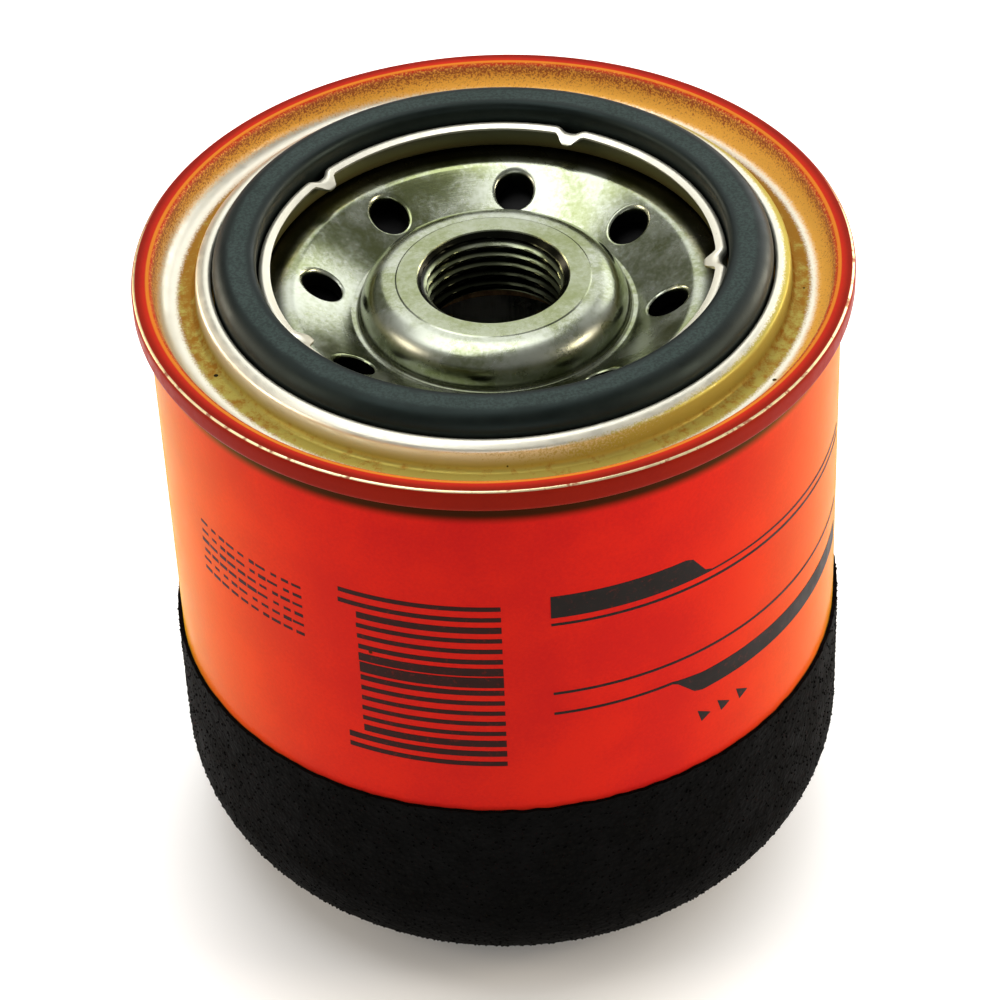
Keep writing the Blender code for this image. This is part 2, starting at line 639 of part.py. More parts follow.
def coil_points(bottom_r, top_r, bottom_z, top_z, wire, turns):
    """Wire middle line with a flat share of a turn at each end."""
    count = int(round(turns * POINTS_PER_TURN))
    low = bottom_z + wire / 2
    high = top_z - wire / 2
    points = []
    for index in range(count + 1):
        turn = turns * index / count
        rise = (turn - DEAD_TURN_SHARE) / (turns - 2 * DEAD_TURN_SHARE)
        rise = min(max(rise, 0.0), 1.0)
        radius = bottom_r + (top_r - bottom_r) * turn / turns
        angle = math.tau * turn
        points.append(Vector((radius * math.cos(angle), radius * math.sin(angle),
                              low + (high - low) * rise)))
    return points


def least_gap(points, wire):
    """Least clear distance between turns of one coil."""
    apart = POINTS_PER_TURN // 2
    least = math.inf
    for first in range(len(points)):
        for second in range(first + apart, len(points)):
            least = min(least, (points[first] - points[second]).length - wire)
    return least


def build_coil(name, points, wire, finish):
    """One unbroken round wire along a path."""
    curve = bpy.data.curves.new(name + "_path", "CURVE")
    curve.dimensions = "3D"
    curve.bevel_depth = wire / 2
    curve.bevel_resolution = 1
    curve.use_fill_caps = True
    spline = curve.splines.new("POLY")
    spline.points.add(len(points) - 1)
    for target, point in zip(spline.points, points):
        target.co = (*point, 1.0)
    holder = bpy.data.objects.new(name + "_path", curve)
    bpy.context.scene.collection.objects.link(holder)
    mesh = bpy.data.meshes.new_from_object(holder.evaluated_get(bpy.context.evaluated_depsgraph_get()))
    bpy.data.objects.remove(holder, do_unlink=True)
    bm = bmesh.new()
    bm.from_mesh(mesh)
    print(name, "least gap to itself, mm:", round(least_gap(points, wire) / MM, 3))
    return add_mesh(name, bm, finish, smooth_angle=1.2)


def build_bypass_spring(finish):
    """Spring between the valve disc and the top of the cage."""
    points = coil_points(BYPASS_COIL_DIAMETER / 2, BYPASS_COIL_DIAMETER / 2, POPPET_TOP_Z + SEAT_GAP,
                         CAGE_TOP_Z - BYPASS_SHEET - SEAT_GAP, BYPASS_WIRE, BYPASS_TURNS)
    return build_coil("bypass_spring", points, BYPASS_WIRE, finish)


def build_element_spring(finish):
    """Conical spring between the dome end and the bypass seat plate."""
    points = coil_points(SPRING_BOTTOM_DIAMETER / 2, SPRING_TOP_DIAMETER / 2, SPRING_BOTTOM_Z,
                         SPRING_TOP_Z, SPRING_WIRE, SPRING_TURNS)
    return build_coil("element_spring", points, SPRING_WIRE, finish)


def build_housing():
    """Pieces that stay still: can, coat, lid, plate and gasket."""
    build_canister(material("can_paint", (0.72, 0.06, 0.02), 0.35, 0.0))
    build_grip_coating(material("grip_black", (0.015, 0.015, 0.014), 0.85, 0.0))
    build_seaming_lid(material("lid_zinc", (0.62, 0.60, 0.48), 0.32, 1.0))
    build_base_plate(material("plate_steel", (0.55, 0.57, 0.50), 0.35, 1.0))
    build_sealing_gasket(material("gasket_rubber", (0.03, 0.04, 0.04), 0.55, 0.0))
    build_anti_drain_valve(material("valve_rubber", (0.02, 0.02, 0.02), 0.6, 0.0))
    build_element_spring(material("spring_wire", (0.50, 0.50, 0.50), 0.3, 1.0))


def build_element():
    """Pieces of the filter element with its perforated tube."""
    fibre = material("cap_fibre", (0.45, 0.33, 0.20), 0.85, 0.0)
    upper_bottom = UPPER_CAP_TOP_Z - END_CAP_THICKNESS
    build_end_cap("upper_end_cap", COLLAR_R, upper_bottom, fibre)
    build_end_cap("lower_end_cap", CAGE_OUTER_R + CAGE_SIDE_GAP, LOWER_CAP_BOTTOM_Z, fibre.copy())
    build_pleated_media(material("media_paper", (0.78, 0.66, 0.42), 0.9, 0.0))
    build_media_clip(material("clip_steel", (0.55, 0.55, 0.55), 0.35, 1.0))
    build_center_tube(material("tube_steel", (0.52, 0.52, 0.52), 0.4, 1.0))


def build_bypass():
    """Pieces of the bypass valve in the lower end cap."""
    build_bypass_seat(material("seat_steel", (0.55, 0.55, 0.54), 0.35, 1.0))
    build_bypass_cage(material("cage_steel", (0.55, 0.55, 0.54), 0.35, 1.0))
    build_bypass_poppet(material("poppet_steel", (0.60, 0.60, 0.60), 0.3, 1.0))
    build_bypass_seal(material("seal_rubber", (0.02, 0.02, 0.02), 0.6, 0.0))
    build_bypass_spring(material("bypass_wire", (0.50, 0.50, 0.50), 0.3, 1.0))


def main():
    """Build the whole filter."""
    clear_scene()
    build_housing()
    build_element()
    build_bypass()


main()
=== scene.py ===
"""Finished look of a spin-on oil filter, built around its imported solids."""
import logging
import math
from dataclasses import dataclass
from enum import Enum
from typing import Any, Callable, Optional, Sequence, Union

import bmesh
import bpy
import numpy as np
from bpy.types import Material, Mesh, Node, NodeTree, Object
from bpy.types import NodeSocket as Socket
from mathutils import Matrix, Vector, noise


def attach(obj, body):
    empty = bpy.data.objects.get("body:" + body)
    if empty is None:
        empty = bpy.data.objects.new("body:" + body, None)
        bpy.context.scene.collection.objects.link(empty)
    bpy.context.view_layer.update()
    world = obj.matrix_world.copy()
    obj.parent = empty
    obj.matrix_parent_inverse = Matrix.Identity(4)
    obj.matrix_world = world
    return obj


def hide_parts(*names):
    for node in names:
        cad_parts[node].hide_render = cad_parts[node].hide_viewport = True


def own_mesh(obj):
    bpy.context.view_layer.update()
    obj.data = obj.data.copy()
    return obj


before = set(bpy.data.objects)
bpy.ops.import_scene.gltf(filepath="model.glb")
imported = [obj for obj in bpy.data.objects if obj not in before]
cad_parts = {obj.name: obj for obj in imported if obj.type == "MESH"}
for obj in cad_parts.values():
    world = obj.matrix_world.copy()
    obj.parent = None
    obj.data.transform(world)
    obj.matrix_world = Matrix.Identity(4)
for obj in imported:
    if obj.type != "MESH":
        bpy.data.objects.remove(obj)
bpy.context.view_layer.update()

LOG = logging.getLogger("filter")
MM = 0.001
NOISE_SPREAD = (0.3, 0.7)
MAIN_SHARE = 0.7
FOLD_SHARE = 0.95
FEWEST_ARC_STEPS = 4
MERGE_DISTANCE = 1e-7
PUNCH_SIDES = 48
PUNCH_RINGS = 16
BAR_STATIONS = 25
WIRE_STATIONS = 64.0
WIRE_SIDES = 14
BAR_BIAS = 2.5
GUARD_BARS = 2
WALL_TOLERANCE = 1e-6
WHITE = (1.0, 1.0, 1.0)
NO_LINES = (1.0, 1.0, 1.0)

Array = np.ndarray
Point = tuple[float, float]
Span = tuple[float, float]
Triple = tuple[float, float, float]
Colour = Triple
Outline = list[Point]
Value = Union[float, int, bool, Sequence[float], Material, Socket]
Moved = tuple[Array, Array]
Warp = Callable[[Array, Array, Array], Moved]


class Body(Enum):
    """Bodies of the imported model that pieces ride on."""

    HOUSING = "housing"
    FLAP = "drain_flap"
    ELEMENT = "element"


class Slot(Enum):
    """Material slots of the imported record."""

    PAINT = "can_paint"
    GRIP = "grip_black"
    LID = "lid_zinc"
    PLATE = "plate_steel"
    GASKET = "gasket_rubber"
    VALVE = "valve_rubber"
    SPRING = "spring_steel"


def srgb(red: int, green: int, blue: int) -> Colour:
    """Linear colour of a screen colour written in 0 to 255.

    Args:
        red: Red level.
        green: Green level.
        blue: Blue level.

    Returns:
        The three linear values.
    """
    levels = (level / 255.0 for level in (red, green, blue))
    return tuple(v / 12.92 if v <= 0.04045 else ((v + 0.055) / 1.055) ** 2.4 for v in levels)


def smooth_step(values: Array, low: float, high: float) -> Array:
    """Ease from 0 at low to 1 at high."""
    share = np.clip((values - low) / (high - low), 0.0, 1.0)
    return share * share * (3.0 - 2.0 * share)


class NodeSketch:
    """Adds nodes to one tree and joins them."""

    def __init__(self, tree: NodeTree) -> None:
        """Keep the tree that the nodes go into."""
        self.tree = tree

    def node(self, kind: str, inputs: Optional[dict[Any, Value]] = None, **settings: Any) -> Node:
        """Add one node.

        Args:
            kind: The node's type name.
            inputs: Values or sockets for the inputs, by name or place.
            settings: Properties of the node.

        Returns:
            The new node.
        """
        made = self.tree.nodes.new(kind)
        for name, value in settings.items():
            setattr(made, name, value)
        for key, value in (inputs or {}).items():
            self.join(value, made.inputs[key])
        return made

    def join(self, value: Value, target: Socket) -> None:
        """Link a socket to an input, or set the input to a plain value.

        Args:
            value: A socket or a plain value.
            target: The input.
        """
        if isinstance(value, Socket):
            self.tree.links.new(value, target)
        else:
            target.default_value = value

    def math(self, operation: str, first: Value, second: Value = 0.0) -> Socket:
        """Result of one Math node."""
        return self.node("ShaderNodeMath", {0: first, 1: second}, operation=operation).outputs[0]

    def plus(self, first: Value, second: Value) -> Socket:
        """Sum of two values."""
        return self.math("ADD", first, second)

    def minus(self, first: Value, second: Value) -> Socket:
        """First value less the second."""
        return self.math("SUBTRACT", first, second)

    def times(self, first: Value, second: Value) -> Socket:
        """Product of two values."""
        return self.math("MULTIPLY", first, second)

    def larger(self, first: Value, second: Value) -> Socket:
        """Larger of two values."""
        return self.math("MAXIMUM", first, second)

    def vector(self, x: Value = 0.0, y: Value = 0.0, z: Value = 0.0) -> Socket:
        """A vector from three values."""
        return self.node("ShaderNodeCombineXYZ", {0: x, 1: y, 2: z}).outputs[0]

    def split(self, vector: Socket) -> bpy.types.bpy_prop_collection:
        """Parts of a vector by X, Y and Z."""
        return self.node("ShaderNodeSeparateXYZ", {0: vector}).outputs

    def ramp(self, value: Value, low: Value, high: Value, start: Value = 0.0, end: Value = 1.0,
             **settings: Any) -> Socket:
        """Ramp of a value, held at both ends.

        Args:
            value: What is mapped.
            low: Where the ramp starts.
            high: Where it ends.
            start: Result at low.
            end: Result at high.
            settings: Properties of the node.

        Returns:
            The mapped value.
        """
        inputs = {"Value": value, "From Min": low, "From Max": high, "To Min": start, "To Max": end}
        return self.node("ShaderNodeMapRange", inputs, **settings).outputs[0]


class SurfaceSketch(NodeSketch):
    """Shader nodes of one finish, all on Object coordinates."""

    def __init__(self, name: str) -> None:
        """Start a material with one Principled shader.

        Args:
            name: Name of the material.
        """
        self.material = bpy.data.materials.new(name)
        self.material.use_nodes = True
        super().__init__(self.material.node_tree)
        self.shader = self.tree.nodes["Principled BSDF"]
        self.place = self.node("ShaderNodeTexCoord").outputs["Object"]

    def set(self, **values: Value) -> None:
        """Set shader inputs, named with _ for a space.

        Args:
            values: Values or sockets, by input name.
        """
        for name, value in values.items():
            target = self.shader.inputs[name.replace("_", " ").title().replace("Ior", "IOR")]
            flat_colour = not isinstance(value, Socket) and target.type == "RGBA"
            self.join((*value, 1.0) if flat_colour else value, target)

    def stretched(self, scale: Sequence[float]) -> Socket:
        """Object coordinates times a scale on each axis."""
        return self.node("ShaderNodeMapping", {"Vector": self.place, "Scale": scale}).outputs[0]

    def noise(self, size: float, detail: float = 3.0, rough: float = 0.55,
              place: Optional[Socket] = None) -> Socket:
        """Soft noise with features of a size.

        Args:
            size: Size of the largest features, in millimetres.
            detail: Finer layers added.
            rough: Strength of the finer layers.
            place: Coordinates, if not the plain Object ones.

        Returns:
            A value around one half.
        """
        inputs = {"Vector": place or self.place, "Scale": 1.0 / (size * MM), "Detail": detail,
                  "Roughness": rough}
        return self.node("ShaderNodeTexNoise", inputs).outputs["Fac"]

    def cells(self, size: float) -> Socket:
        """Distance to the nearest grain of a size in millimetres."""
        inputs = {"Vector": self.place, "Scale": 1.0 / (size * MM)}
        return self.node("ShaderNodeTexVoronoi", inputs).outputs["Distance"]

    def ease(self, value: Value, low: float, high: float, start: float = 0.0, end: float = 1.0) -> Socket:
        """Smooth ramp of a value from start at low to end at high."""
        return self.ramp(value, low, high, start, end, interpolation_type="SMOOTHSTEP")

    def below(self, value: Value, low: float, high: float, full: float = 1.0) -> Socket:
        """Mask that is full up to low and gone from high."""
        return self.ease(value, low, high, full, 0.0)

    def band(self, value: Value, inner: Span, outer: Span, full: float = 1.0) -> Socket:
        """Mask that comes in over one span and goes out over another."""
        return self.times(self.ease(value, *inner), self.below(value, *outer, full))

    def over(self, texture: Socket, start: float, end: float) -> Socket:
        """Smooth ramp across the usual spread of a noise."""
        return self.ease(texture, *NOISE_SPREAD, start, end)

    def layered(self, main: Socket, minor: Socket) -> Socket:
        """Two textures added in fixed shares."""
        return self.plus(self.times(main, MAIN_SHARE), self.times(minor, 1.0 - MAIN_SHARE))

    def blend(self, share: Value, first: Value, second: Value) -> Socket:
        """Mix of two colours.

        Args:
            share: Share of the second.
            first: A colour or socket.
            second: A colour or socket.

        Returns:
            The mixed colour.
        """
        made = self.node("ShaderNodeMix", data_type="RGBA")
        self.join(share, made.inputs[0])
        for value, target in ((first, made.inputs[6]), (second, made.inputs[7])):
            self.join(value if isinstance(value, Socket) else (*value, 1.0), target)
        return made.outputs[2]

    def bump(self, height: Socket, depth: float, under: Optional[Socket] = None) -> Socket:
        """Small relief of a depth in millimetres.

        Args:
            height: The relief, from 0 to 1.
            depth: Height of the relief.
            under: Normal that it is laid over.

        Returns:
            The new normal.
        """
        made = self.node("ShaderNodeBump", {"Height": height, "Distance": depth * MM})
        if under is not None:
            self.join(under, made.inputs["Normal"])
        return made.outputs[0]

    def leaning(self, value: Socket, lean: Triple) -> Socket:
        """A value that grows to one side of the filter."""
        tilt = self.node("ShaderNodeVectorMath", {0: self.place, 1: lean}, operation="DOT_PRODUCT")
        return self.plus(value, tilt.outputs["Value"])

    def radius(self) -> Socket:
        """Distance from the filter's axis, in millimetres."""
        flat = self.stretched((1.0 / MM, 1.0 / MM, 0.0))
        return self.node("ShaderNodeVectorMath", {0: flat}, operation="LENGTH").outputs["Value"]

    def height(self) -> Socket:
        """Height above the floor, in millimetres."""
        return self.split(self.stretched((1.0, 1.0, 1.0 / MM)))["Z"]


@dataclass(frozen=True)
class Finish:
    """A named finish, which makes its own material."""

    name: str

    def lay(self, sketch: SurfaceSketch) -> None:
        """Set the shader's inputs."""
        raise NotImplementedError

    def material(self) -> Material:
        """The finish as a material.

        Returns:
            The new material.
        """
        sketch = SurfaceSketch(self.name)
        self.lay(sketch)
        return sketch.material


@dataclass(frozen=True)
class Paint(Finish):
    """Paint of the can, with a sheen where it is seen at a low angle, and a painted shadow just under the
    seam.
    """

    name: str = "can_paint_finish"
    deep: Colour = srgb(204, 16, 30)
    bright: Colour = srgb(222, 28, 28)
    # Colour of the painted shade under the seam and on the seam's wall.
    seam_shade: Colour = srgb(22, 5, 5)
    speck: Colour = srgb(70, 16, 12)
    glow: Colour = (1.0, 0.62, 0.03)
    gleam: Colour = (1.0, 0.74, 0.3)
    # Heights over which the painted shadow under the seam comes in, and how dark it gets.
    shade_span: Span = (84.3, 86.0)
    shade_share: float = 0.97
    rough: Span = (0.16, 0.24)
    speck_edge: Span = (0.025, 0.035)

    def colour(self, sketch: SurfaceSketch) -> Socket:
        """Colour of the paint, for any finish that carries it.

        Args:
            sketch: Nodes of the finish.

        Returns:
            The colour.
        """
        grain = sketch.noise(0.45, 2.0, 0.7)
        mixed = sketch.plus(sketch.noise(14.0, 2.0), sketch.times(grain, 0.5))
        clouded = sketch.blend(sketch.ease(mixed, 0.5, 1.0), self.deep, self.bright)
        return sketch.blend(sketch.below(sketch.cells(12.0), *self.speck_edge), clouded, self.speck)

    def lay(self, sketch: SurfaceSketch) -> None:
        """Set the shader's inputs.

        Args:
            sketch: Nodes of the finish.
        """
        # Painted shadow: the can is darkened towards its top, just under the seam.
        shade_mask = sketch.ease(sketch.height(), *self.shade_span, 0.0, self.shade_share)
        sketch.set(base_color=sketch.blend(shade_mask, self.colour(sketch), self.seam_shade),
                   roughness=sketch.over(sketch.noise(5.0), *self.rough),
                   normal=sketch.bump(sketch.noise(0.9, 1.0), 0.01), specular_ior_level=0.02,
                   specular_tint=self.gleam, sheen_weight=1.0, sheen_roughness=0.36, sheen_tint=self.glow)


@dataclass(frozen=True)
class Ink(Finish):
    """Printed ink with a little of the paint showing through."""

    name: str = "print_ink_finish"
    solid: Colour = srgb(26, 22, 20)
    thin: Colour = srgb(84, 28, 22)
    wear: Span = (0.54, 0.82)
    rough: Span = (0.38, 0.5)

    def lay(self, sketch: SurfaceSketch) -> None:
        """Set the shader's inputs.

        Args:
            sketch: Nodes of the finish.
        """
        wear_and_glint = sketch.ease(sketch.noise(0.7, 3.0, 0.7), *self.wear)
        sketch.set(base_color=sketch.blend(wear_and_glint, self.solid, self.thin),
                   roughness=sketch.over(sketch.noise(3.0), *self.rough), specular_ior_level=0.08)


@dataclass(frozen=True)
class GripCoat(Finish):
    """Matte black granular coat."""

    name: str = "grip_coat_finish"
    dark: Colour = srgb(3, 3, 3)
    wear_and_glint: Colour = srgb(10, 10, 9)
    wear: Span = (0.3, 0.6)
    rough: Span = (0.72, 0.92)

    def lay(self, sketch: SurfaceSketch) -> None:
        """Set the shader's inputs.

        Args:
            sketch: Nodes of the finish.
        """
        grains = sketch.cells(0.75)
        clouds = sketch.noise(6.0, 4.0, 0.65)
        wear_and_glint_mask = sketch.ease(sketch.minus(clouds, sketch.times(grains, 0.35)), *self.wear)
        normal = sketch.bump(sketch.noise(0.3, 2.0), 0.03, sketch.bump(grains, 0.10))
        sketch.set(base_color=sketch.blend(wear_and_glint_mask, self.dark, self.wear_and_glint), normal=normal,
                   roughness=sketch.over(clouds, *self.rough), specular_ior_level=0.04)


@dataclass(frozen=True)
class PlatedLid(Finish):
    """Gold-tinged plating of the lid, sprayed on the chuck wall and painted over on the seam, with painted
    shade on the seam and inside the lip, and painted highlights along the seam's edges.
    """

    name: str = "lid_plating_finish"
    pale: Colour = srgb(232, 230, 214)
    gold: Colour = srgb(160, 114, 42)
    green: Colour = srgb(180, 168, 86)
    spray: Colour = srgb(250, 182, 54)
    rust: Colour = srgb(176, 84, 20)
    dark: Colour = srgb(70, 74, 46)
    speck: Colour = srgb(30, 26, 22)
    speck_edge: Span = (0.045, 0.055)
    # Colour of the painted highlight on the seam's outer corner.
    wear_and_glint: Colour = srgb(255, 238, 190)
    warm: Colour = srgb(240, 104, 36)
    floor: Span = (88.0, 90.7)
    floor_edge: Span = (40.6, 41.4)
    gold_lean: Triple = (0.0, 6.0, 0.0)
    gold_range: Span = (0.28, 0.56)
    flank: Span = (87.8, 88.8)
    ridge: Span = (38.0, 38.6)
    ridge_lean: Triple = (20.0, 8.0, 0.0)
    spray_edge: Span = (42.1, 43.1)
    spray_lean: Triple = (18.0, 2.0, 0.0)
    wall: Span = (87.9, 90.75)
    wall_rust: Span = (-0.15, 0.1)
    paint_edge: Span = (43.75, 44.55)
    # Where the lip's inner side is painted dark as shade.
    lip_edge: Span = (30.3, 30.4)
    lip_under: Span = (90.2, 90.4)
    # Painted shade on the seam: lower on its wall and further out on its shoulder.
    seam_shade_band: Span = (90.25, 90.75)
    rim: Span = (44.9, 46.0)
    shade_span: Span = (0.2, 0.62)
    warmth: float = 0.16
    # Where the painted highlight line runs on the seam's upper inner edge.
    brow_inner: Span = (44.3, 44.5)
    brow_outer: Span = (44.75, 44.95)
    brow_highlight_share: float = 0.45
    corner_radius: float = 46.085
    corner_height: float = 90.375
    # Where the painted highlight runs across the seam's outer corner, and where it ends towards the back.
    glint_inner: Span = (-0.5, -0.36)
    glint_outer: Span = (-0.12, 0.05)
    glint_end: Span = (0.0, 0.018)
    shine: Span = (0.8, 0.3)

    def floor_share(self, sketch: SurfaceSketch, edge: Socket) -> Socket:
        """Mask of the golden floor, which runs up the ridge's outer side.

        Args:
            sketch: Nodes of the finish.
            edge: Distance from the axis, made uneven.

        Returns:
            The mask.
        """
        low = sketch.below(sketch.height(), *self.floor)
        ridge = sketch.ease(sketch.leaning(edge, self.ridge_lean), *self.ridge)
        return sketch.times(sketch.larger(low, ridge), sketch.below(edge, *self.floor_edge))

    def metal(self, sketch: SurfaceSketch, share: Socket, clouds: Socket) -> Socket:
        """Colour of the bare plating, golden on the floor and pale on the ridge and lip.

        Args:
            sketch: Nodes of the finish.
            share: Mask of the golden floor.
            clouds: Noise of the cloudy tone.

        Returns:
            The colour.
        """
        golden = sketch.ease(sketch.leaning(clouds, self.gold_lean), *self.gold_range)
        golden = sketch.times(golden, sketch.below(sketch.height(), *self.flank))
        plated = sketch.blend(share, self.pale, sketch.blend(golden, self.green, self.gold))
        return sketch.blend(sketch.below(sketch.cells(6.0), *self.speck_edge), plated, self.speck)

    def amber(self, sketch: SurfaceSketch, grit: Socket) -> Socket:
        """Colour of the spray on the chuck wall, rustier towards its top."""
        rise = sketch.ease(sketch.height(), *self.wall, *self.wall_rust)
        return sketch.blend(sketch.ease(sketch.plus(grit, rise), 0.4, 0.64), self.spray, self.rust)

    def lip_shade(self, sketch: SurfaceSketch, radius: Socket) -> Socket:
        """Mask of the lip's inner side, painted dark as shade."""
        return sketch.times(sketch.below(radius, *self.lip_edge),
                            sketch.below(sketch.height(), *self.lip_under, 0.9))

    def seam_paint(self, sketch: SurfaceSketch, radius: Socket) -> Socket:
        """Colour of the painted seam, with painted shade low on its wall and out on its shoulder, and a
        painted highlight line on its upper inner edge.

        Args:
            sketch: Nodes of the finish.
            radius: Distance from the axis.

        Returns:
            The colour.
        """
        paint = Paint()
        # Painted shade: the seam's paint is darker lower on its wall and further out on its shoulder.
        shade_mask = sketch.ease(sketch.height(), *self.seam_shade_band, *self.shade_span[::-1])
        shade_mask = sketch.larger(shade_mask, sketch.ease(radius, *self.rim, *self.shade_span))
        colour = sketch.blend(self.warmth, paint.colour(sketch), self.warm)
        colour = sketch.blend(shade_mask, colour, paint.seam_shade)
        # Painted highlight: a bright orange line along the seam's upper inner edge.
        brow = sketch.band(radius, self.brow_inner, self.brow_outer, self.brow_highlight_share)
        return sketch.blend(brow, colour, self.spray)

    def corner(self, sketch: SurfaceSketch, radius: Socket) -> Socket:
        """Mask of a painted highlight along the seam's upper outer corner, pale and metallic, kept to the
        front half.

        Args:
            sketch: Nodes of the finish.
            radius: Distance from the axis.

        Returns:
            The mask.
        """
        out = sketch.minus(radius, self.corner_radius)
        across = sketch.minus(out, sketch.minus(sketch.height(), self.corner_height))
        line = sketch.band(across, self.glint_inner, self.glint_outer)
        # Painted highlight: broken along its length and kept to the front half.
        wear_and_glint_mask = sketch.ease(sketch.noise(2.2, 3.0, 0.7), 0.34, 0.46, 0.2, 1.0)
        wear_and_glint_mask = sketch.times(wear_and_glint_mask, sketch.below(sketch.split(sketch.place)["Y"], *self.glint_end))
        return sketch.times(line, wear_and_glint_mask)

    def lay(self, sketch: SurfaceSketch) -> None:
        """Set the shader's inputs.

        Args:
            sketch: Nodes of the finish.
        """
        radius = sketch.radius()
        clouds = sketch.noise(1.6, 4.0, 0.75)
        grit = sketch.noise(0.28, 2.0, 0.7)
        waver = sketch.plus(sketch.times(clouds, 0.3), sketch.times(grit, 1.1))
        edge = sketch.plus(radius, sketch.minus(waver, 0.7))
        painted = sketch.ease(edge, *self.paint_edge)
        sprayed = sketch.ease(sketch.leaning(edge, self.spray_lean), *self.spray_edge, 0.0, 0.92)
        share = self.floor_share(sketch, edge)
        metal = sketch.blend(sprayed, self.metal(sketch, share, clouds), self.amber(sketch, grit))
        # Painted shade: the lip's inner side is made dark.
        metal = sketch.blend(self.lip_shade(sketch, radius), metal, self.dark)
        colour = sketch.blend(painted, metal, self.seam_paint(sketch, radius))
        # Painted highlight: the seam's outer corner is made pale and metallic.
        corner_glint = self.corner(sketch, radius)
        uncoated = sketch.minus(1.0, sketch.larger(painted, sprayed))
        shine = sketch.times(sketch.ease(share, 0.0, 1.0, *self.shine), uncoated)
        sketch.set(base_color=sketch.blend(corner_glint, colour, self.wear_and_glint), metallic=sketch.larger(shine, corner_glint),
                   roughness=sketch.ease(clouds, 0.3, 0.75, 0.3, 0.5), specular_ior_level=0.04,
                   specular_tint=Paint().gleam, normal=sketch.bump(sketch.noise(0.8, 2.0), 0.006))


@dataclass(frozen=True)
class PlatedSteel(Finish):
    """Bright plated stamping with cloudy tone and faint drawing rings, and painted shade in the bore, the
    inlet holes, under the lid's lip and on the hub's wall.
    """

    name: str = "plate_steel_finish"
    bright: Colour = srgb(190, 195, 180)
    dull: Colour = srgb(134, 142, 100)
    dark: Colour = srgb(14, 14, 12)
    olive: Colour = srgb(62, 66, 46)
    # Where painted shade falls: the thread's grooves, the deep bore, the plate under the lip and the hub's
    # wall.
    groove: Span = (8.9, 9.25)
    bore: Span = (9.8, 9.9)
    bore_deep: Span = (82.2, 84.0)
    crevice: Span = (26.5, 28.1)
    hub: Span = (18.0, 18.2)
    hub_wall: Span = (84.0, 86.8)
    land: Span = (12.6, 12.7)
    inlets: int = 8
    inlet_turn: float = math.radians(36.6)
    inlet_circle: float = 22.7
    inlet_throat: Span = (2.52, 2.62)
    tone: Span = (0.36, 0.64)
    rough: Span = (0.18, 0.32)
    relief: float = 0.006

    def in_inlet(self, sketch: SurfaceSketch, radius: Socket) -> Socket:
        """Mask of the walls of the inlet holes, painted dark as shade.

        Args:
            sketch: Nodes of the finish.
            radius: Distance from the axis.

        Returns:
            The mask.
        """
        parts = sketch.split(sketch.place)
        azimuth = sketch.minus(sketch.math("ARCTAN2", parts["Y"], parts["X"]), self.inlet_turn)
        nearest = sketch.math("COSINE", sketch.math("PINGPONG", azimuth, math.pi / self.inlets))
        bow = sketch.times(radius, sketch.minus(1.0, nearest))
        square = sketch.math("POWER", sketch.minus(radius, self.inlet_circle), 2.0)
        square = sketch.plus(square, sketch.times(bow, 2.0 * self.inlet_circle))
        return sketch.below(sketch.math("SQRT", square), *self.inlet_throat, 0.92)

    def lay(self, sketch: SurfaceSketch) -> None:
        """Set the shader's inputs.

        Args:
            sketch: Nodes of the finish.
        """
        radius = sketch.radius()
        height = sketch.height()
        clouds = sketch.noise(9.0, 4.0, 0.6)
        mottle = sketch.noise(0.7, 3.0, 0.7)
        tone = sketch.ease(sketch.layered(clouds, mottle), *self.tone)
        colour = sketch.blend(tone, self.dull, self.bright)
        # Painted shade: the hub's wall is darker towards its foot.
        wall = sketch.times(sketch.below(height, *self.hub_wall, 0.75), sketch.below(radius, *self.hub))
        colour = sketch.blend(wall, colour, self.olive)
        colour = sketch.blend(sketch.below(radius, *self.land, 0.45), colour, self.dull)
        # Painted shade: the thread's grooves and the deeper turns of the bore are darkened.
        bore_shade = sketch.larger(sketch.ease(radius, *self.groove, 0.0, 0.98),
                             sketch.below(height, *self.bore_deep, 0.9))
        bore_shade = sketch.times(sketch.below(radius, *self.bore), bore_shade)
        # Painted shade: the walls of the inlet holes and the plate under the lid's lip are darkened.
        shaded = sketch.larger(self.in_inlet(sketch, radius), sketch.ease(radius, *self.crevice, 0.0, 0.9))
        rings = sketch.noise(0.22, 2.0, 0.6, sketch.vector(sketch.times(radius, MM)))
        normal = sketch.bump(mottle, self.relief, sketch.bump(rings, self.relief))
        sketch.set(base_color=sketch.blend(sketch.larger(bore_shade, shaded), colour, self.dark), metallic=1.0,
                   roughness=sketch.over(clouds, *self.rough), normal=normal)


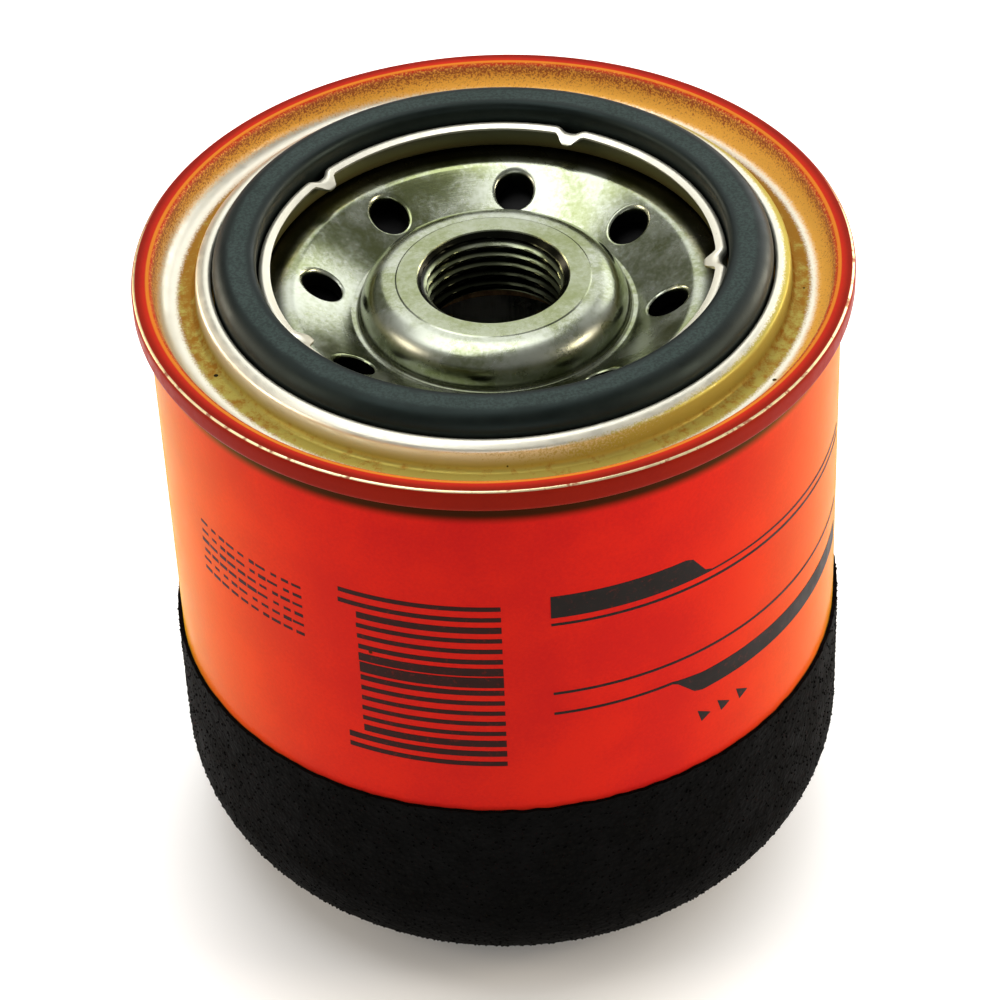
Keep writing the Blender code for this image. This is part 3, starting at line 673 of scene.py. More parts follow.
@dataclass(frozen=True)
class Rubber(Finish):
    """Moulded rubber with a soft bloom, and a lighter flecked band on its land if it has one."""

    body: Colour
    bloom: Colour
    gloss_tint: Colour = (0.72, 1.0, 0.94)
    land: Optional[Span] = None
    fringe: float = 0.8
    land_colour: Colour = srgb(44, 57, 54)
    rough: Span = (0.4, 0.54)

    def land_mask(self, sketch: SurfaceSketch, clouds: Socket) -> Socket:
        """Mask of the lighter flecked band on the land.

        Args:
            sketch: Nodes of the finish.
            clouds: Noise of the cloudy tone.

        Returns:
            The mask.
        """
        radius = sketch.plus(sketch.radius(), sketch.times(clouds, self.fringe))
        inner, outer = ((edge, edge + self.fringe) for edge in self.land)
        flecks = sketch.ease(sketch.noise(0.4, 2.0, 0.75), 0.38, 0.62, 0.35, 1.0)
        return sketch.times(sketch.band(radius, inner, outer), flecks)

    def lay(self, sketch: SurfaceSketch) -> None:
        """Set the shader's inputs.

        Args:
            sketch: Nodes of the finish.
        """
        clouds = sketch.noise(5.0, 4.0, 0.6)
        grains = sketch.noise(0.5, 2.0, 0.7)
        share = sketch.ease(sketch.plus(clouds, sketch.times(grains, 0.4)), 0.45, 0.95)
        colour = sketch.blend(share, self.body, self.bloom)
        if self.land is not None:
            colour = sketch.blend(self.land_mask(sketch, clouds), colour, self.land_colour)
        sketch.set(base_color=colour, roughness=sketch.over(clouds, *self.rough),
                   normal=sketch.bump(grains, 0.012), specular_tint=self.gloss_tint, specular_ior_level=0.24)


@dataclass(frozen=True)
class Fibre(Finish):
    """Pressed board or treated paper with flecks."""

    pale: Colour
    dark: Colour
    fleck: float = 1.4
    tone: Span = (0.35, 0.65)
    rough: Span = (0.8, 0.95)

    def lay(self, sketch: SurfaceSketch) -> None:
        """Set the shader's inputs.

        Args:
            sketch: Nodes of the finish.
        """
        hairs = sketch.noise(self.fleck, 4.0, 0.75, sketch.stretched((1.0, 1.0, 0.4)))
        tone = sketch.ease(sketch.layered(hairs, sketch.noise(9.0, 2.0)), *self.tone)
        sketch.set(base_color=sketch.blend(tone, self.dark, self.pale),
                   roughness=sketch.over(hairs, *self.rough), normal=sketch.bump(hairs, 0.05))


@dataclass(frozen=True)
class BareSteel(Finish):
    """Rolled or drawn steel with fine lines and a film of oil."""

    bright: Colour
    dull: Colour
    lines: Triple = (1.0, 1.0, 0.08)
    tone: Span = (0.38, 0.62)
    rough: Span = (0.22, 0.42)

    def lay(self, sketch: SurfaceSketch) -> None:
        """Set the shader's inputs.

        Args:
            sketch: Nodes of the finish.
        """
        drawn = sketch.noise(0.35, 3.0, 0.65, sketch.stretched(self.lines))
        clouds = sketch.noise(6.0, 4.0, 0.6)
        tone = sketch.ease(sketch.layered(clouds, drawn), *self.tone)
        sketch.set(base_color=sketch.blend(tone, self.dull, self.bright), metallic=1.0,
                   roughness=sketch.over(clouds, *self.rough), normal=sketch.bump(drawn, 0.006))


@dataclass(frozen=True)
class FloorSweep(Finish):
    """Pale floor that shows white to the lens and keeps the shadow near the filter, where it also glows
    less, darker to the left and front, as a painted shadow.
    """

    name: str = "floor_finish"
    tone: Colour = (0.86, 0.86, 0.86)
    lift: Span = (0.06, 0.6)
    shade: Span = (28.0, 54.0)
    shade_lean: Triple = (110.0, 260.0, 0.0)

    def lay(self, sketch: SurfaceSketch) -> None:
        """Set the shader's inputs.

        Args:
            sketch: Nodes of the finish.
        """
        path = sketch.node("ShaderNodeLightPath").outputs
        seen = sketch.larger(path["Is Camera Ray"], path["Is Glossy Ray"])
        seen = sketch.larger(seen, path["Is Transmission Ray"])
        # Painted shadow: the floor's glow is turned down near the filter, more so to the left and front.
        away = sketch.leaning(sketch.radius(), self.shade_lean)
        lift = sketch.ease(away, *self.shade, *self.lift)
        sketch.set(base_color=self.tone, roughness=0.9, specular_ior_level=0.0, emission_color=WHITE,
                   emission_strength=sketch.times(seen, lift))


def corner_arc(before: Point, corner: Triple, after: Point, spacing: float) -> Outline:
    """Arc that rounds one corner of an outline.

    Args:
        before: The point before the corner.
        corner: The corner and its rounding radius.
        after: The point after the corner.
        spacing: Distance between the arc's points.

    Returns:
        The points of the arc.
    """
    at = np.array(corner[:2])
    into = np.array(before) - at
    out = np.array(after) - at
    into = into / np.linalg.norm(into)
    out = out / np.linalg.norm(out)
    half = math.acos(float(np.clip(into @ out, -1.0, 1.0))) / 2.0
    middle = (into + out) / np.linalg.norm(into + out)
    centre = at + middle * corner[2] / math.sin(half)
    start = at + into * corner[2] / math.tan(half) - centre
    end = at + out * corner[2] / math.tan(half) - centre
    sweep = math.atan2(start[0] * end[1] - start[1] * end[0], float(start @ end))
    steps = max(FEWEST_ARC_STEPS, math.ceil(abs(sweep) * corner[2] / spacing))
    points = []
    for angle in np.linspace(0.0, sweep, steps + 1):
        turn = np.array([[math.cos(angle), -math.sin(angle)], [math.sin(angle), math.cos(angle)]])
        points.append(tuple(centre + turn @ start))
    return points


def rounded(corners: Sequence[Triple], closed: bool = True, spacing: float = 0.25) -> Outline:
    """Outline through corners, each with its own rounding.

    Args:
        corners: Radius, height and rounding of each corner.
        closed: Whether the last corner joins the first.
        spacing: Distance between the points of an arc.

    Returns:
        The outline's points.
    """
    points: Outline = []
    last = len(corners) - 1
    for index, corner in enumerate(corners):
        if corner[2] == 0 or (not closed and index in (0, last)):
            points.append(corner[:2])
            continue
        after = corners[(index + 1) % len(corners)][:2]
        points.extend(corner_arc(corners[index - 1][:2], corner, after, spacing))
    return points


def refined(outline: Outline, longest: float, closed: bool = True) -> Outline:
    """Split every stretch of an outline that is longer than a length.

    Args:
        outline: The outline's points.
        longest: Longest stretch that stays whole.
        closed: Whether the last point joins the first.

    Returns:
        The outline with the added points.
    """
    ends = outline[1:] + outline[:1] if closed else outline[1:]
    points: Outline = []
    for start, end in zip(outline, ends):
        count = max(1, math.ceil(math.dist(start, end) / longest))
        points.extend(tuple(np.array(start) + (np.array(end) - start) * k / count) for k in range(count))
    return points if closed else points + outline[-1:]


def beside(path: Outline, distance: float) -> Outline:
    """The path moved to its left by a distance.

    Args:
        path: The path's points.
        distance: How far it moves.

    Returns:
        The moved points.
    """
    line = np.array(path)
    steps = np.diff(line, axis=0)
    steps = steps / np.linalg.norm(steps, axis=1)[:, None]
    before = np.vstack([steps[:1], steps])
    after = np.vstack([steps, steps[-1:]])
    first = np.column_stack([-before[:, 1], before[:, 0]])
    middle = first + np.column_stack([-after[:, 1], after[:, 0]])
    middle = middle / np.linalg.norm(middle, axis=1)[:, None]
    reach = distance / np.sum(middle * first, axis=1)
    return [tuple(point) for point in line + middle * reach[:, None]]


def bent_sheet(path: Outline, thickness: float) -> Outline:
    """Closed outline of a sheet around its middle path."""
    return beside(path, thickness / 2) + beside(path, -thickness / 2)[::-1]


def finish_mesh(mesh: Mesh, sharp: float) -> Mesh:
    """Merge doubles, turn faces outward and shade smooth.

    Args:
        mesh: The mesh to finish.
        sharp: Angle from which an edge stays sharp, in degrees.

    Returns:
        The same mesh.
    """
    bm = bmesh.new()
    bm.from_mesh(mesh)
    bmesh.ops.remove_doubles(bm, verts=bm.verts[:], dist=MERGE_DISTANCE)
    bmesh.ops.dissolve_degenerate(bm, edges=bm.edges[:], dist=MERGE_DISTANCE / 10)
    bmesh.ops.recalc_face_normals(bm, faces=bm.faces[:])
    bm.to_mesh(mesh)
    bm.free()
    mesh.shade_smooth()
    mesh.set_sharp_from_angle(angle=math.radians(sharp))
    return mesh


def add_object(name: str, data: bpy.types.ID) -> Object:
    """Put a mesh, lamp or camera in the scene as an object at the origin.

    Args:
        name: Name of the object.
        data: The mesh, lamp or camera.

    Returns:
        The new object.
    """
    made = bpy.data.objects.new(name, data)
    bpy.context.scene.collection.objects.link(made)
    return made


def grid_faces(rows: int, columns: int, close_rows: bool, close_columns: bool) -> Array:
    """Quads of a grid of points, counted row by row.

    Args:
        rows: Number of rows.
        columns: Points in a row.
        close_rows: Whether the last row joins the first.
        close_columns: Whether the last column joins the first.

    Returns:
        Four point numbers for each quad.
    """
    row = np.arange(rows if close_rows else rows - 1)[:, None]
    column = np.arange(columns if close_columns else columns - 1)[None, :]
    below = (row + 1) % rows
    beyond = (column + 1) % columns
    pairs = ((row, column), (row, beyond), (below, beyond), (below, column))
    corners = [np.broadcast_to(r * columns + c, (row.size, column.size)) for r, c in pairs]
    return np.stack([corner.ravel() for corner in corners], axis=1)


def turned(name: str, outline: Outline, steps: int, warp: Optional[Warp] = None, sharp: float = 40.0,
           closed: bool = True) -> Object:
    """Turn an outline round the filter's axis.

    Args:
        name: The piece's name.
        outline: Radius and height of each point, in millimetres.
        steps: Facets around the axis.
        warp: Moves points, from their angle, radius and height.
        sharp: Angle from which an edge stays sharp, in degrees.
        closed: Whether the outline closes on itself.

    Returns:
        The new object.
    """
    line = np.array(outline, float)
    angle = np.broadcast_to(np.arange(steps) * (math.tau / steps), (len(line), steps))
    radius = np.repeat(line[:, :1], steps, axis=1)
    height = np.repeat(line[:, 1:], steps, axis=1)
    if warp is not None:
        radius, height = warp(angle, radius, height)
    points = np.stack([radius * np.cos(angle), radius * np.sin(angle), height], axis=2) * MM
    mesh = bpy.data.meshes.new(name)
    faces = grid_faces(len(line), steps, closed, True)
    mesh.from_pydata(points.reshape(-1, 3).tolist(), [], faces.tolist())
    return add_object(name, finish_mesh(mesh, sharp))


class ShapePlan(NodeSketch):
    """One Geometry Nodes tree with named sizes."""

    def __init__(self, name: str) -> None:
        """Start a tree that takes and gives a geometry.

        Args:
            name: Name of the tree.
        """
        super().__init__(bpy.data.node_groups.new(name, "GeometryNodeTree"))
        for way in ("INPUT", "OUTPUT"):
            self.tree.interface.new_socket("Geometry", in_out=way, socket_type="NodeSocketGeometry")
        self.entry = self.tree.nodes.new("NodeGroupInput")
        self.exit = self.tree.nodes.new("NodeGroupOutput")
        self.keys: dict[str, str] = {}
        self.sizes("Finish", kind="Material")

    def given(self, name: str = "Geometry") -> Socket:
        """Socket of one of the tree's inputs."""
        return self.entry.outputs[name]

    def sizes(self, *names: str, kind: str = "Float") -> list[Socket]:
        """Add named inputs to the tree and give their sockets.

        Args:
            names: Names of the inputs.
            kind: Their socket type.

        Returns:
            Sockets of the inputs.
        """
        for name in names:
            made = self.tree.interface.new_socket(name, in_out="INPUT", socket_type="NodeSocket" + kind)
            self.keys[name] = made.identifier
        return [self.given(name) for name in names]

    def shape(self, kind: str, **inputs: Value) -> Socket:
        """First result of one geometry node, its inputs named with _ for a space."""
        named = {name.replace("_", " ").title(): value for name, value in inputs.items()}
        return self.node("GeometryNode" + kind, named).outputs[0]

    def chance(self, low: Value, high: Value, seed: Value) -> Socket:
        """Random value between two values."""
        return self.node("FunctionNodeRandomValue", {2: low, 3: high, "Seed": seed}).outputs[1]

    def close(self, shape: Socket) -> None:
        """End the tree with realized, dressed geometry.

        Args:
            shape: The geometry.
        """
        real = self.shape("RealizeInstances", geometry=shape)
        dressed = self.shape("SetMaterial", geometry=real, material=self.given("Finish"))
        self.join(dressed, self.exit.inputs[0])

    def apply(self, target: Object, finish: Material, **sizes: Value) -> Object:
        """Run the tree on an object and keep the result as its plain mesh.

        Args:
            target: The object whose mesh goes in and is replaced.
            finish: Material of the result.
            sizes: The tree's sizes by name, in small letters.

        Returns:
            The same object.
        """
        modifier = target.modifiers.new(self.tree.name, "NODES")
        modifier.node_group = self.tree
        modifier[self.keys["Finish"]] = finish
        for name, value in sizes.items():
            modifier[self.keys[name.capitalize()]] = value
        found = target.evaluated_get(bpy.context.evaluated_depsgraph_get())
        mesh = bpy.data.meshes.new_from_object(found)
        target.modifiers.remove(modifier)
        old = target.data
        target.data = mesh
        mesh.name = target.name
        bpy.data.meshes.remove(old)
        return target


def punch_plan() -> ShapePlan:
    """Tree that punches a ring of upright holes with rolled rims into a cone.

    Returns:
        The finished tree.
    """
    plan = ShapePlan("ring_of_punches")
    count, = plan.sizes("Count", kind="Int")
    circle, hole, height, turn = plan.sizes("Circle", "Hole", "Height", "Turn")
    depth, slope, flare, roll = plan.sizes("Depth", "Slope", "Flare", "Roll")
    ring = plan.shape("MeshCircle", vertices=count, radius=circle)
    placed = plan.shape("Transform", geometry=ring, translation=plan.vector(z=height),
                        rotation=plan.vector(z=turn))
    azimuth = plan.plus(plan.times(plan.shape("InputIndex"), plan.math("DIVIDE", math.tau, count)), turn)
    drum = plan.shape("MeshCylinder", vertices=PUNCH_SIDES, side_segments=PUNCH_RINGS, radius=1.0, depth=2.0)
    parts = plan.split(plan.shape("InputPosition"))
    rise = plan.times(plan.math("POWER", parts["Z"], 3.0), plan.times(depth, 0.5))
    near = plan.ramp(rise, plan.times(roll, -1.0), 0.0)
    fall = plan.math("SQRT", plan.minus(1.0, plan.times(near, near)))
    wide = plan.plus(hole, plan.times(flare, plan.minus(1.0, fall)))
    out = plan.times(parts["X"], wide)
    lean = plan.plus(rise, plan.times(out, plan.math("TANGENT", slope)))
    moved = plan.vector(out, plan.times(parts["Y"], wide), lean)
    shaped = plan.shape("SetPosition", geometry=drum, position=moved)
    copies = plan.shape("InstanceOnPoints", points=placed, instance=shaped, rotation=plan.vector(z=azimuth))
    cut = plan.node("GeometryNodeMeshBoolean", operation="DIFFERENCE", solver="EXACT")
    plan.join(plan.given(), cut.inputs["Mesh 1"])
    plan.join(plan.shape("RealizeInstances", geometry=copies), cut.inputs["Mesh 2"])
    plan.close(cut.outputs[0])
    return plan


def bar_plan() -> ShapePlan:
    """Tree that stacks printed bars of uneven width and bends them round a can.

    Returns:
        The finished tree.
    """
    plan = ShapePlan("bent_bars")
    count, seed = plan.sizes("Count", "Seed", kind="Int")
    pitch, length, lift, thin, thick = plan.sizes("Pitch", "Length", "Lift", "Thin", "Thick")
    short, guard, can, azimuth, height = plan.sizes("Short", "Guard", "Can", "Azimuth", "Height")
    line = plan.shape("MeshLine", count=count, offset=plan.vector(z=pitch))
    slab = plan.shape("MeshCube", size=plan.vector(length, lift, 1.0), vertices_x=BAR_STATIONS,
                      vertices_y=2, vertices_z=2)
    hung = plan.shape("Transform", geometry=slab, translation=plan.vector(plan.times(length, -0.5)))
    spread = plan.math("POWER", plan.chance(0.0, 1.0, seed), BAR_BIAS)
    width = plan.plus(thin, plan.times(plan.minus(thick, thin), spread))
    index = plan.shape("InputIndex")
    last = plan.math("GREATER_THAN", index, plan.minus(count, GUARD_BARS + 0.5))
    ends = plan.plus(plan.math("LESS_THAN", index, GUARD_BARS - 0.5), last)
    reach = plan.plus(plan.chance(short, 1.0, plan.plus(seed, 1)), plan.times(ends, guard))
    copies = plan.shape("InstanceOnPoints", points=line, instance=hung, scale=plan.vector(reach, 1.0, width))
    parts = plan.split(plan.shape("InputPosition"))
    angle = plan.plus(plan.math("DIVIDE", parts["X"], can), azimuth)
    radius = plan.minus(can, parts["Y"])
    ahead = plan.times(radius, plan.times(plan.math("COSINE", angle), -1.0))
    bent = plan.vector(plan.times(radius, plan.math("SINE", angle)), ahead, plan.plus(parts["Z"], height))
    real = plan.shape("RealizeInstances", geometry=copies)
    both = plan.node("GeometryNodeJoinGeometry")
    for part in (plan.given(), plan.shape("SetPosition", geometry=real, position=bent)):
        plan.join(part, both.inputs[0])
    plan.close(both.outputs[0])
    return plan


def grain_plan() -> ShapePlan:
    """Tree that scatters half-sunk grains over a skin.

    Returns:
        The finished tree.
    """
    plan = ShapePlan("scattered_grains")
    seed, = plan.sizes("Seed", kind="Int")
    density, small, large = plan.sizes("Density", "Small", "Large")
    inputs = {"Mesh": plan.given(), "Density": density, "Seed": seed}
    scatter = plan.node("GeometryNodeDistributePointsOnFaces", inputs).outputs
    grain = plan.shape("MeshIcoSphere", radius=1.0, subdivisions=1)
    plan.close(plan.shape("InstanceOnPoints", points=scatter["Points"], instance=grain,
                          rotation=scatter["Rotation"], scale=plan.chance(small, large, seed)))
    return plan


def coil_plan() -> ShapePlan:
    """Tree that winds one wire with flat end turns.

    Returns:
        The finished tree.
    """
    plan = ShapePlan("wound_wire")
    turns, dead, wire = plan.sizes("Turns", "Dead", "Wire")
    bottom, top, low, high = plan.sizes("Bottom", "Top", "Low", "High")
    line = plan.shape("CurvePrimitiveLine", end=(0.0, 0.0, 1.0))
    path = plan.shape("ResampleCurve", curve=line, count=plan.times(turns, WIRE_STATIONS))
    along = plan.shape("SplineParameter")
    flat = plan.math("DIVIDE", dead, turns)
    rise = plan.ramp(along, flat, plan.minus(1.0, flat), low, high)
    radius = plan.ramp(along, 0.0, 1.0, bottom, top)
    angle = plan.times(along, plan.times(turns, math.tau))
    wound = plan.vector(plan.times(radius, plan.math("COSINE", angle)),
                        plan.times(radius, plan.math("SINE", angle)), rise)
    moved = plan.shape("SetPosition", geometry=path, position=wound)
    ring = plan.shape("CurvePrimitiveCircle", resolution=WIRE_SIDES, radius=wire)
    plan.close(plan.shape("CurveToMesh", curve=moved, profile_curve=ring, fill_caps=True))
    return plan


def dress(piece: Object, finish: Material) -> None:
    """Give a piece one finish in place of what it has."""
    piece.data.materials.clear()
    piece.data.materials.append(finish)


def settle(piece: Object, body: Body, slot: Slot, finish: Material, *nodes: str) -> None:
    """Dress a finished piece and tie it to the frame.

    Args:
        piece: The piece, at the origin with its place in its mesh.
        body: The body that it rides on.
        slot: The record's material slot that it belongs to; not used.
        finish: Its material.
        nodes: CAD nodes that it stands for.
    """
    dress(piece, finish)
    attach(piece, body.value)
    if nodes:
        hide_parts(*nodes)
    LOG.info("%s rides on %s: %d faces", piece.name, body.value, len(piece.data.polygons))


def dress_node(node: str, finish: Material) -> None:
    """Give a CAD node that stays in view its finish."""
    dress(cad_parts[node], finish)
    LOG.info("%s keeps its packed solid", node)


@dataclass
class Print:
    """Ink on the can: two stepped stripes, three arrow marks and plain bars."""

    can_radius: float = 45.0
    lift: float = 0.03
    sunk: float = 0.02
    start: float = 6.7
    end: float = 78.0
    spacing: float = 0.75
    hairline: float = 0.42
    arrow_reach: float = 1.3
    bar_seed: int = 17
    bar_turn: float = -1.2
    row_seed: int = 4
    row_turn: float = -35.2
    row_step: float = -2.5
    row_count: int = 10
    sharp: float = 30.0

    def band(self, low: Sequence[Point], high: Sequence[Point]) -> tuple[Array, Array, Array]:
        """Stations of a band between two lines of azimuth and height.

        Args:
            low: Lower edge, in degrees and millimetres.
            high: Upper edge, in degrees and millimetres.

        Returns:
            Shared azimuths, and both edges there.
        """
        first = min(low[0][0], high[0][0])
        last = max(low[-1][0], high[-1][0])
        stops = {point[0] for point in (*low, *high)}
        stops.update(np.arange(first, last, self.spacing))
        azimuth = np.array(sorted(stops))
        bottom, top = (np.interp(azimuth, *zip(*line)) for line in (low, high))
        return azimuth, bottom, top

    def slab(self, bm: bmesh.types.BMesh, low: Sequence[Point], high: Sequence[Point]) -> None:
        """Add one printed band as a thin closed slab on the can.

        Args:
            bm: Mesh that the print is added to.
            low: Lower edge, in degrees and millimetres.
            high: Upper edge, in degrees and millimetres.
        """
        azimuth, bottom, top = self.band(low, high)
        angle = np.radians(azimuth)
        inner = self.can_radius - self.sunk
        outer = self.can_radius + self.lift
        loops = []
        for radius, height in ((inner, bottom), (outer, bottom), (outer, top), (inner, top)):
            points = np.column_stack([radius * np.sin(angle), -radius * np.cos(angle), height]) * MM
            loops.append([bm.verts.new(point) for point in points])
        for loop, following in zip(loops, loops[1:] + loops[:1]):
            for k in range(len(azimuth) - 1):
                bm.faces.new((loop[k], loop[k + 1], following[k + 1], following[k]))
        for end in (0, -1):
            bm.faces.new([loop[end] for loop in loops])

    def hair(self, bm: bmesh.types.BMesh, line: Sequence[Point]) -> None:
        """Add a thin line along points of azimuth and height."""
        half = self.hairline / 2
        self.slab(bm, [(a, z - half) for a, z in line], [(a, z + half) for a, z in line])

    def stripes(self, bm: bmesh.types.BMesh) -> None:
        """Add both stepped stripes with their fine lines.

        Args:
            bm: Mesh that the print is added to.
        """
        start, end = self.start, self.end
        self.slab(bm, [(start, 68.4), (end, 68.05)],
                  [(start, 72.0), (29.8, 72.0), (31.2, 71.6), (33.6, 69.0), (35.0, 68.55), (end, 68.5)])
        self.hair(bm, [(start, 67.3), (end, 66.9)])
        self.hair(bm, [(start, 55.5), (end, 55.5)])
        self.slab(bm, [(start, 51.8), (27.2, 51.8), (28.2, 51.4), (31.4, 48.9), (33.0, 48.5), (end, 48.5)],
                  [(start, 52.22), (27.2, 52.22), (28.2, 52.05), (33.0, 51.6), (end, 51.6)])

    def arrows(self, bm: bmesh.types.BMesh) -> None:
        """Add the three small arrow marks.

        Args:
            bm: Mesh that the print is added to.
        """
        for centre in (33.35, 37.5, 41.65):
            left, right = centre - self.arrow_reach, centre + self.arrow_reach
            self.slab(bm, [(left, 44.95), (left + 0.8, 42.9), (right, 43.7)], [(left, 45.05), (right, 43.8)])

    def build(self, ink: Material, brown: Material) -> None:
        """Make and settle all the printed pieces.

        Args:
            ink: Material of the stripes.
            brown: Material of the bars and rows.
        """
        bm = bmesh.new()
        self.stripes(bm)
        self.arrows(bm)
        mesh = bpy.data.meshes.new("printed_stripes")
        bm.to_mesh(mesh)
        bm.free()
        stripes = add_object("printed_stripes", finish_mesh(mesh, self.sharp))
        settle(stripes, Body.HOUSING, Slot.PAINT, ink)
        plan = bar_plan()
        ladder = dict(count=16, pitch=1.785 * MM, length=18.9 * MM, thin=0.72 * MM, thick=1.75 * MM,
                      short=0.99, guard=0.12, height=43.8 * MM)
        dashes = dict(count=6, pitch=1.6 * MM, length=1.75 * MM, thin=0.4 * MM, thick=0.62 * MM,
                      short=0.5, guard=0.0, height=60.2 * MM)
        turns = [math.radians(self.row_turn + self.row_step * k) for k in range(self.row_count)]
        blocks = {
            "printed_bars": [dict(ladder, azimuth=math.radians(self.bar_turn), seed=self.bar_seed)],
            "printed_rows": [dict(dashes, azimuth=a, seed=self.row_seed + k) for k, a in enumerate(turns)],
        }
        for name, columns in blocks.items():
            holder = add_object(name, bpy.data.meshes.new(name))
            for sizes in columns:
                plan.apply(holder, brown, can=self.can_radius * MM, lift=2 * self.lift * MM, **sizes)
            finish_mesh(holder.data, self.sharp)
            settle(holder, Body.HOUSING, Slot.PAINT, brown)


@dataclass
class Can:
    """Drawn can with its grip coat."""

    radius: float = 45.0
    sheet: float = 0.45
    dome_round: float = 16.0
    bottom: float = 0.6
    hook_top: float = 90.205
    hook_end: float = 88.715
    seam_pitch: float = 0.57
    coat: float = 0.5
    coat_gap: float = 0.1
    coat_top: float = 35.4
    grain_depth: float = 0.11
    lump: float = 0.9
    fine_lump: float = 1.9
    fine_share: float = 0.6
    rough_from: Span = (3.0, 10.0)
    edge_band: float = 1.2
    edge_wave: float = 0.22
    edge_waves: float = 26.0
    grain_density: float = 7.0e5
    grain_size: Span = (0.1, 0.22)
    grain_foot: float = 2.0
    grain_seed: int = 5
    grain_spacing: float = 2.0
    grain_steps: int = 96
    skin_margin: float = 0.05
    edge_seed: float = 3.0
    shell_spacing: float = 0.6
    shell_longest: float = 6.0
    coat_spacing: float = 0.75
    lining_spacing: float = 2.0
    coat_sharp: float = 75.0
    steps: int = 256
    coat_steps: int = 420

    def build_shell(self) -> Object:
        """The painted can from the dome end to its hooked flange.

        Returns:
            The new object.
        """
        middle = self.radius - self.sheet / 2
        low = self.bottom + self.sheet / 2
        fold = self.seam_pitch * FOLD_SHARE
        hook = middle + 2 * self.seam_pitch
        path = rounded([(0.0, low, 0), (middle, low, self.dome_round - self.sheet / 2),
                        (middle, self.hook_top, fold), (hook, self.hook_top, fold),
                        (hook, self.hook_end, 0)], closed=False, spacing=self.shell_spacing)
        outline = bent_sheet(refined(path, self.shell_longest, False), self.sheet)
        return turned("can_body", outline, self.steps)

    def coat_skin(self, spacing: float) -> Outline:
        """Outer line of the grip coat from its centre to its upper edge.

        Args:
            spacing: Distance between its points.

        Returns:
            The outline's points.
        """
        outer = self.radius + self.coat_gap + self.coat
        path = rounded([(0.0, 0.0, 0), (outer, 0.0, self.dome_round + self.coat_gap + self.coat),
                        (outer, self.coat_top, 0)], closed=False, spacing=spacing)
        return refined(path, spacing, False)

    def roughen(self, angle: Array, radius: Array, height: Array) -> Moved:
        """Lumps of the coat and its uneven upper edge, kept above the floor.

        Args:
            angle: Angle of each point.
            radius: Distance from the axis.
            height: Height of each point.

        Returns:
            The new distances and heights.
        """
        inner = self.radius + self.coat_gap
        lumps = np.zeros_like(radius)
        for place in np.ndindex(radius.shape):
            turn = angle[place]
            spot = Vector((radius[place] * math.cos(turn), radius[place] * math.sin(turn), height[place]))
            fine = noise.noise(spot * self.fine_lump)
            lumps[place] = noise.noise(spot * self.lump) + self.fine_share * fine
        skin = smooth_step(radius, inner + self.skin_margin, inner + self.coat - self.skin_margin)
        wall = smooth_step(height, *self.rough_from) * skin
        edge = smooth_step(height, self.coat_top - self.edge_band, self.coat_top)
        wave = []
        for turn in angle[0]:
            x, y = math.cos(turn) * self.edge_waves, math.sin(turn) * self.edge_waves
            wave.append(noise.noise(Vector((x, y, self.edge_seed))))
        return radius + lumps * self.grain_depth * wall, height + edge * np.array(wave) * self.edge_wave

    def build_coat(self) -> Object:
        """The granular cup over the dome end.

        Returns:
            The new object.
        """
        outer = self.coat_skin(self.coat_spacing)
        wall = self.radius + self.coat_gap
        inner = rounded([(0.0, self.coat, 0), (wall, self.coat, self.dome_round + self.coat_gap),
                         (wall, self.coat_top, 0)], closed=False, spacing=self.lining_spacing)
        return turned("grip_coat", outer + inner[::-1], self.coat_steps, self.roughen, self.coat_sharp)

    def build_grains(self, finish: Material) -> Object:
        """Separate coarse grains that stand out of the coat.

        Args:
            finish: Material of the grains.

        Returns:
            The new object.
        """
        skin = [point for point in self.coat_skin(self.grain_spacing) if point[1] > self.grain_foot]
        holder = turned("grip_grains", skin, self.grain_steps, closed=False)
        small, large = (size * MM for size in self.grain_size)
        grain_plan().apply(holder, finish, density=self.grain_density, seed=self.grain_seed, small=small,
                           large=large)
        holder.data.shade_smooth()
        return holder

    def build(self) -> None:
        """Make and settle the can, its coat and the print."""
        settle(self.build_shell(), Body.HOUSING, Slot.PAINT, Paint().material(), "canister")
        black = GripCoat().material()
        settle(self.build_coat(), Body.HOUSING, Slot.GRIP, black, "grip_coating")
        settle(self.build_grains(black), Body.HOUSING, Slot.GRIP, black)
        brown = Ink("bar_ink_finish", srgb(42, 13, 8), srgb(104, 22, 14))
        Print(self.radius).build(Ink().material(), brown.material())


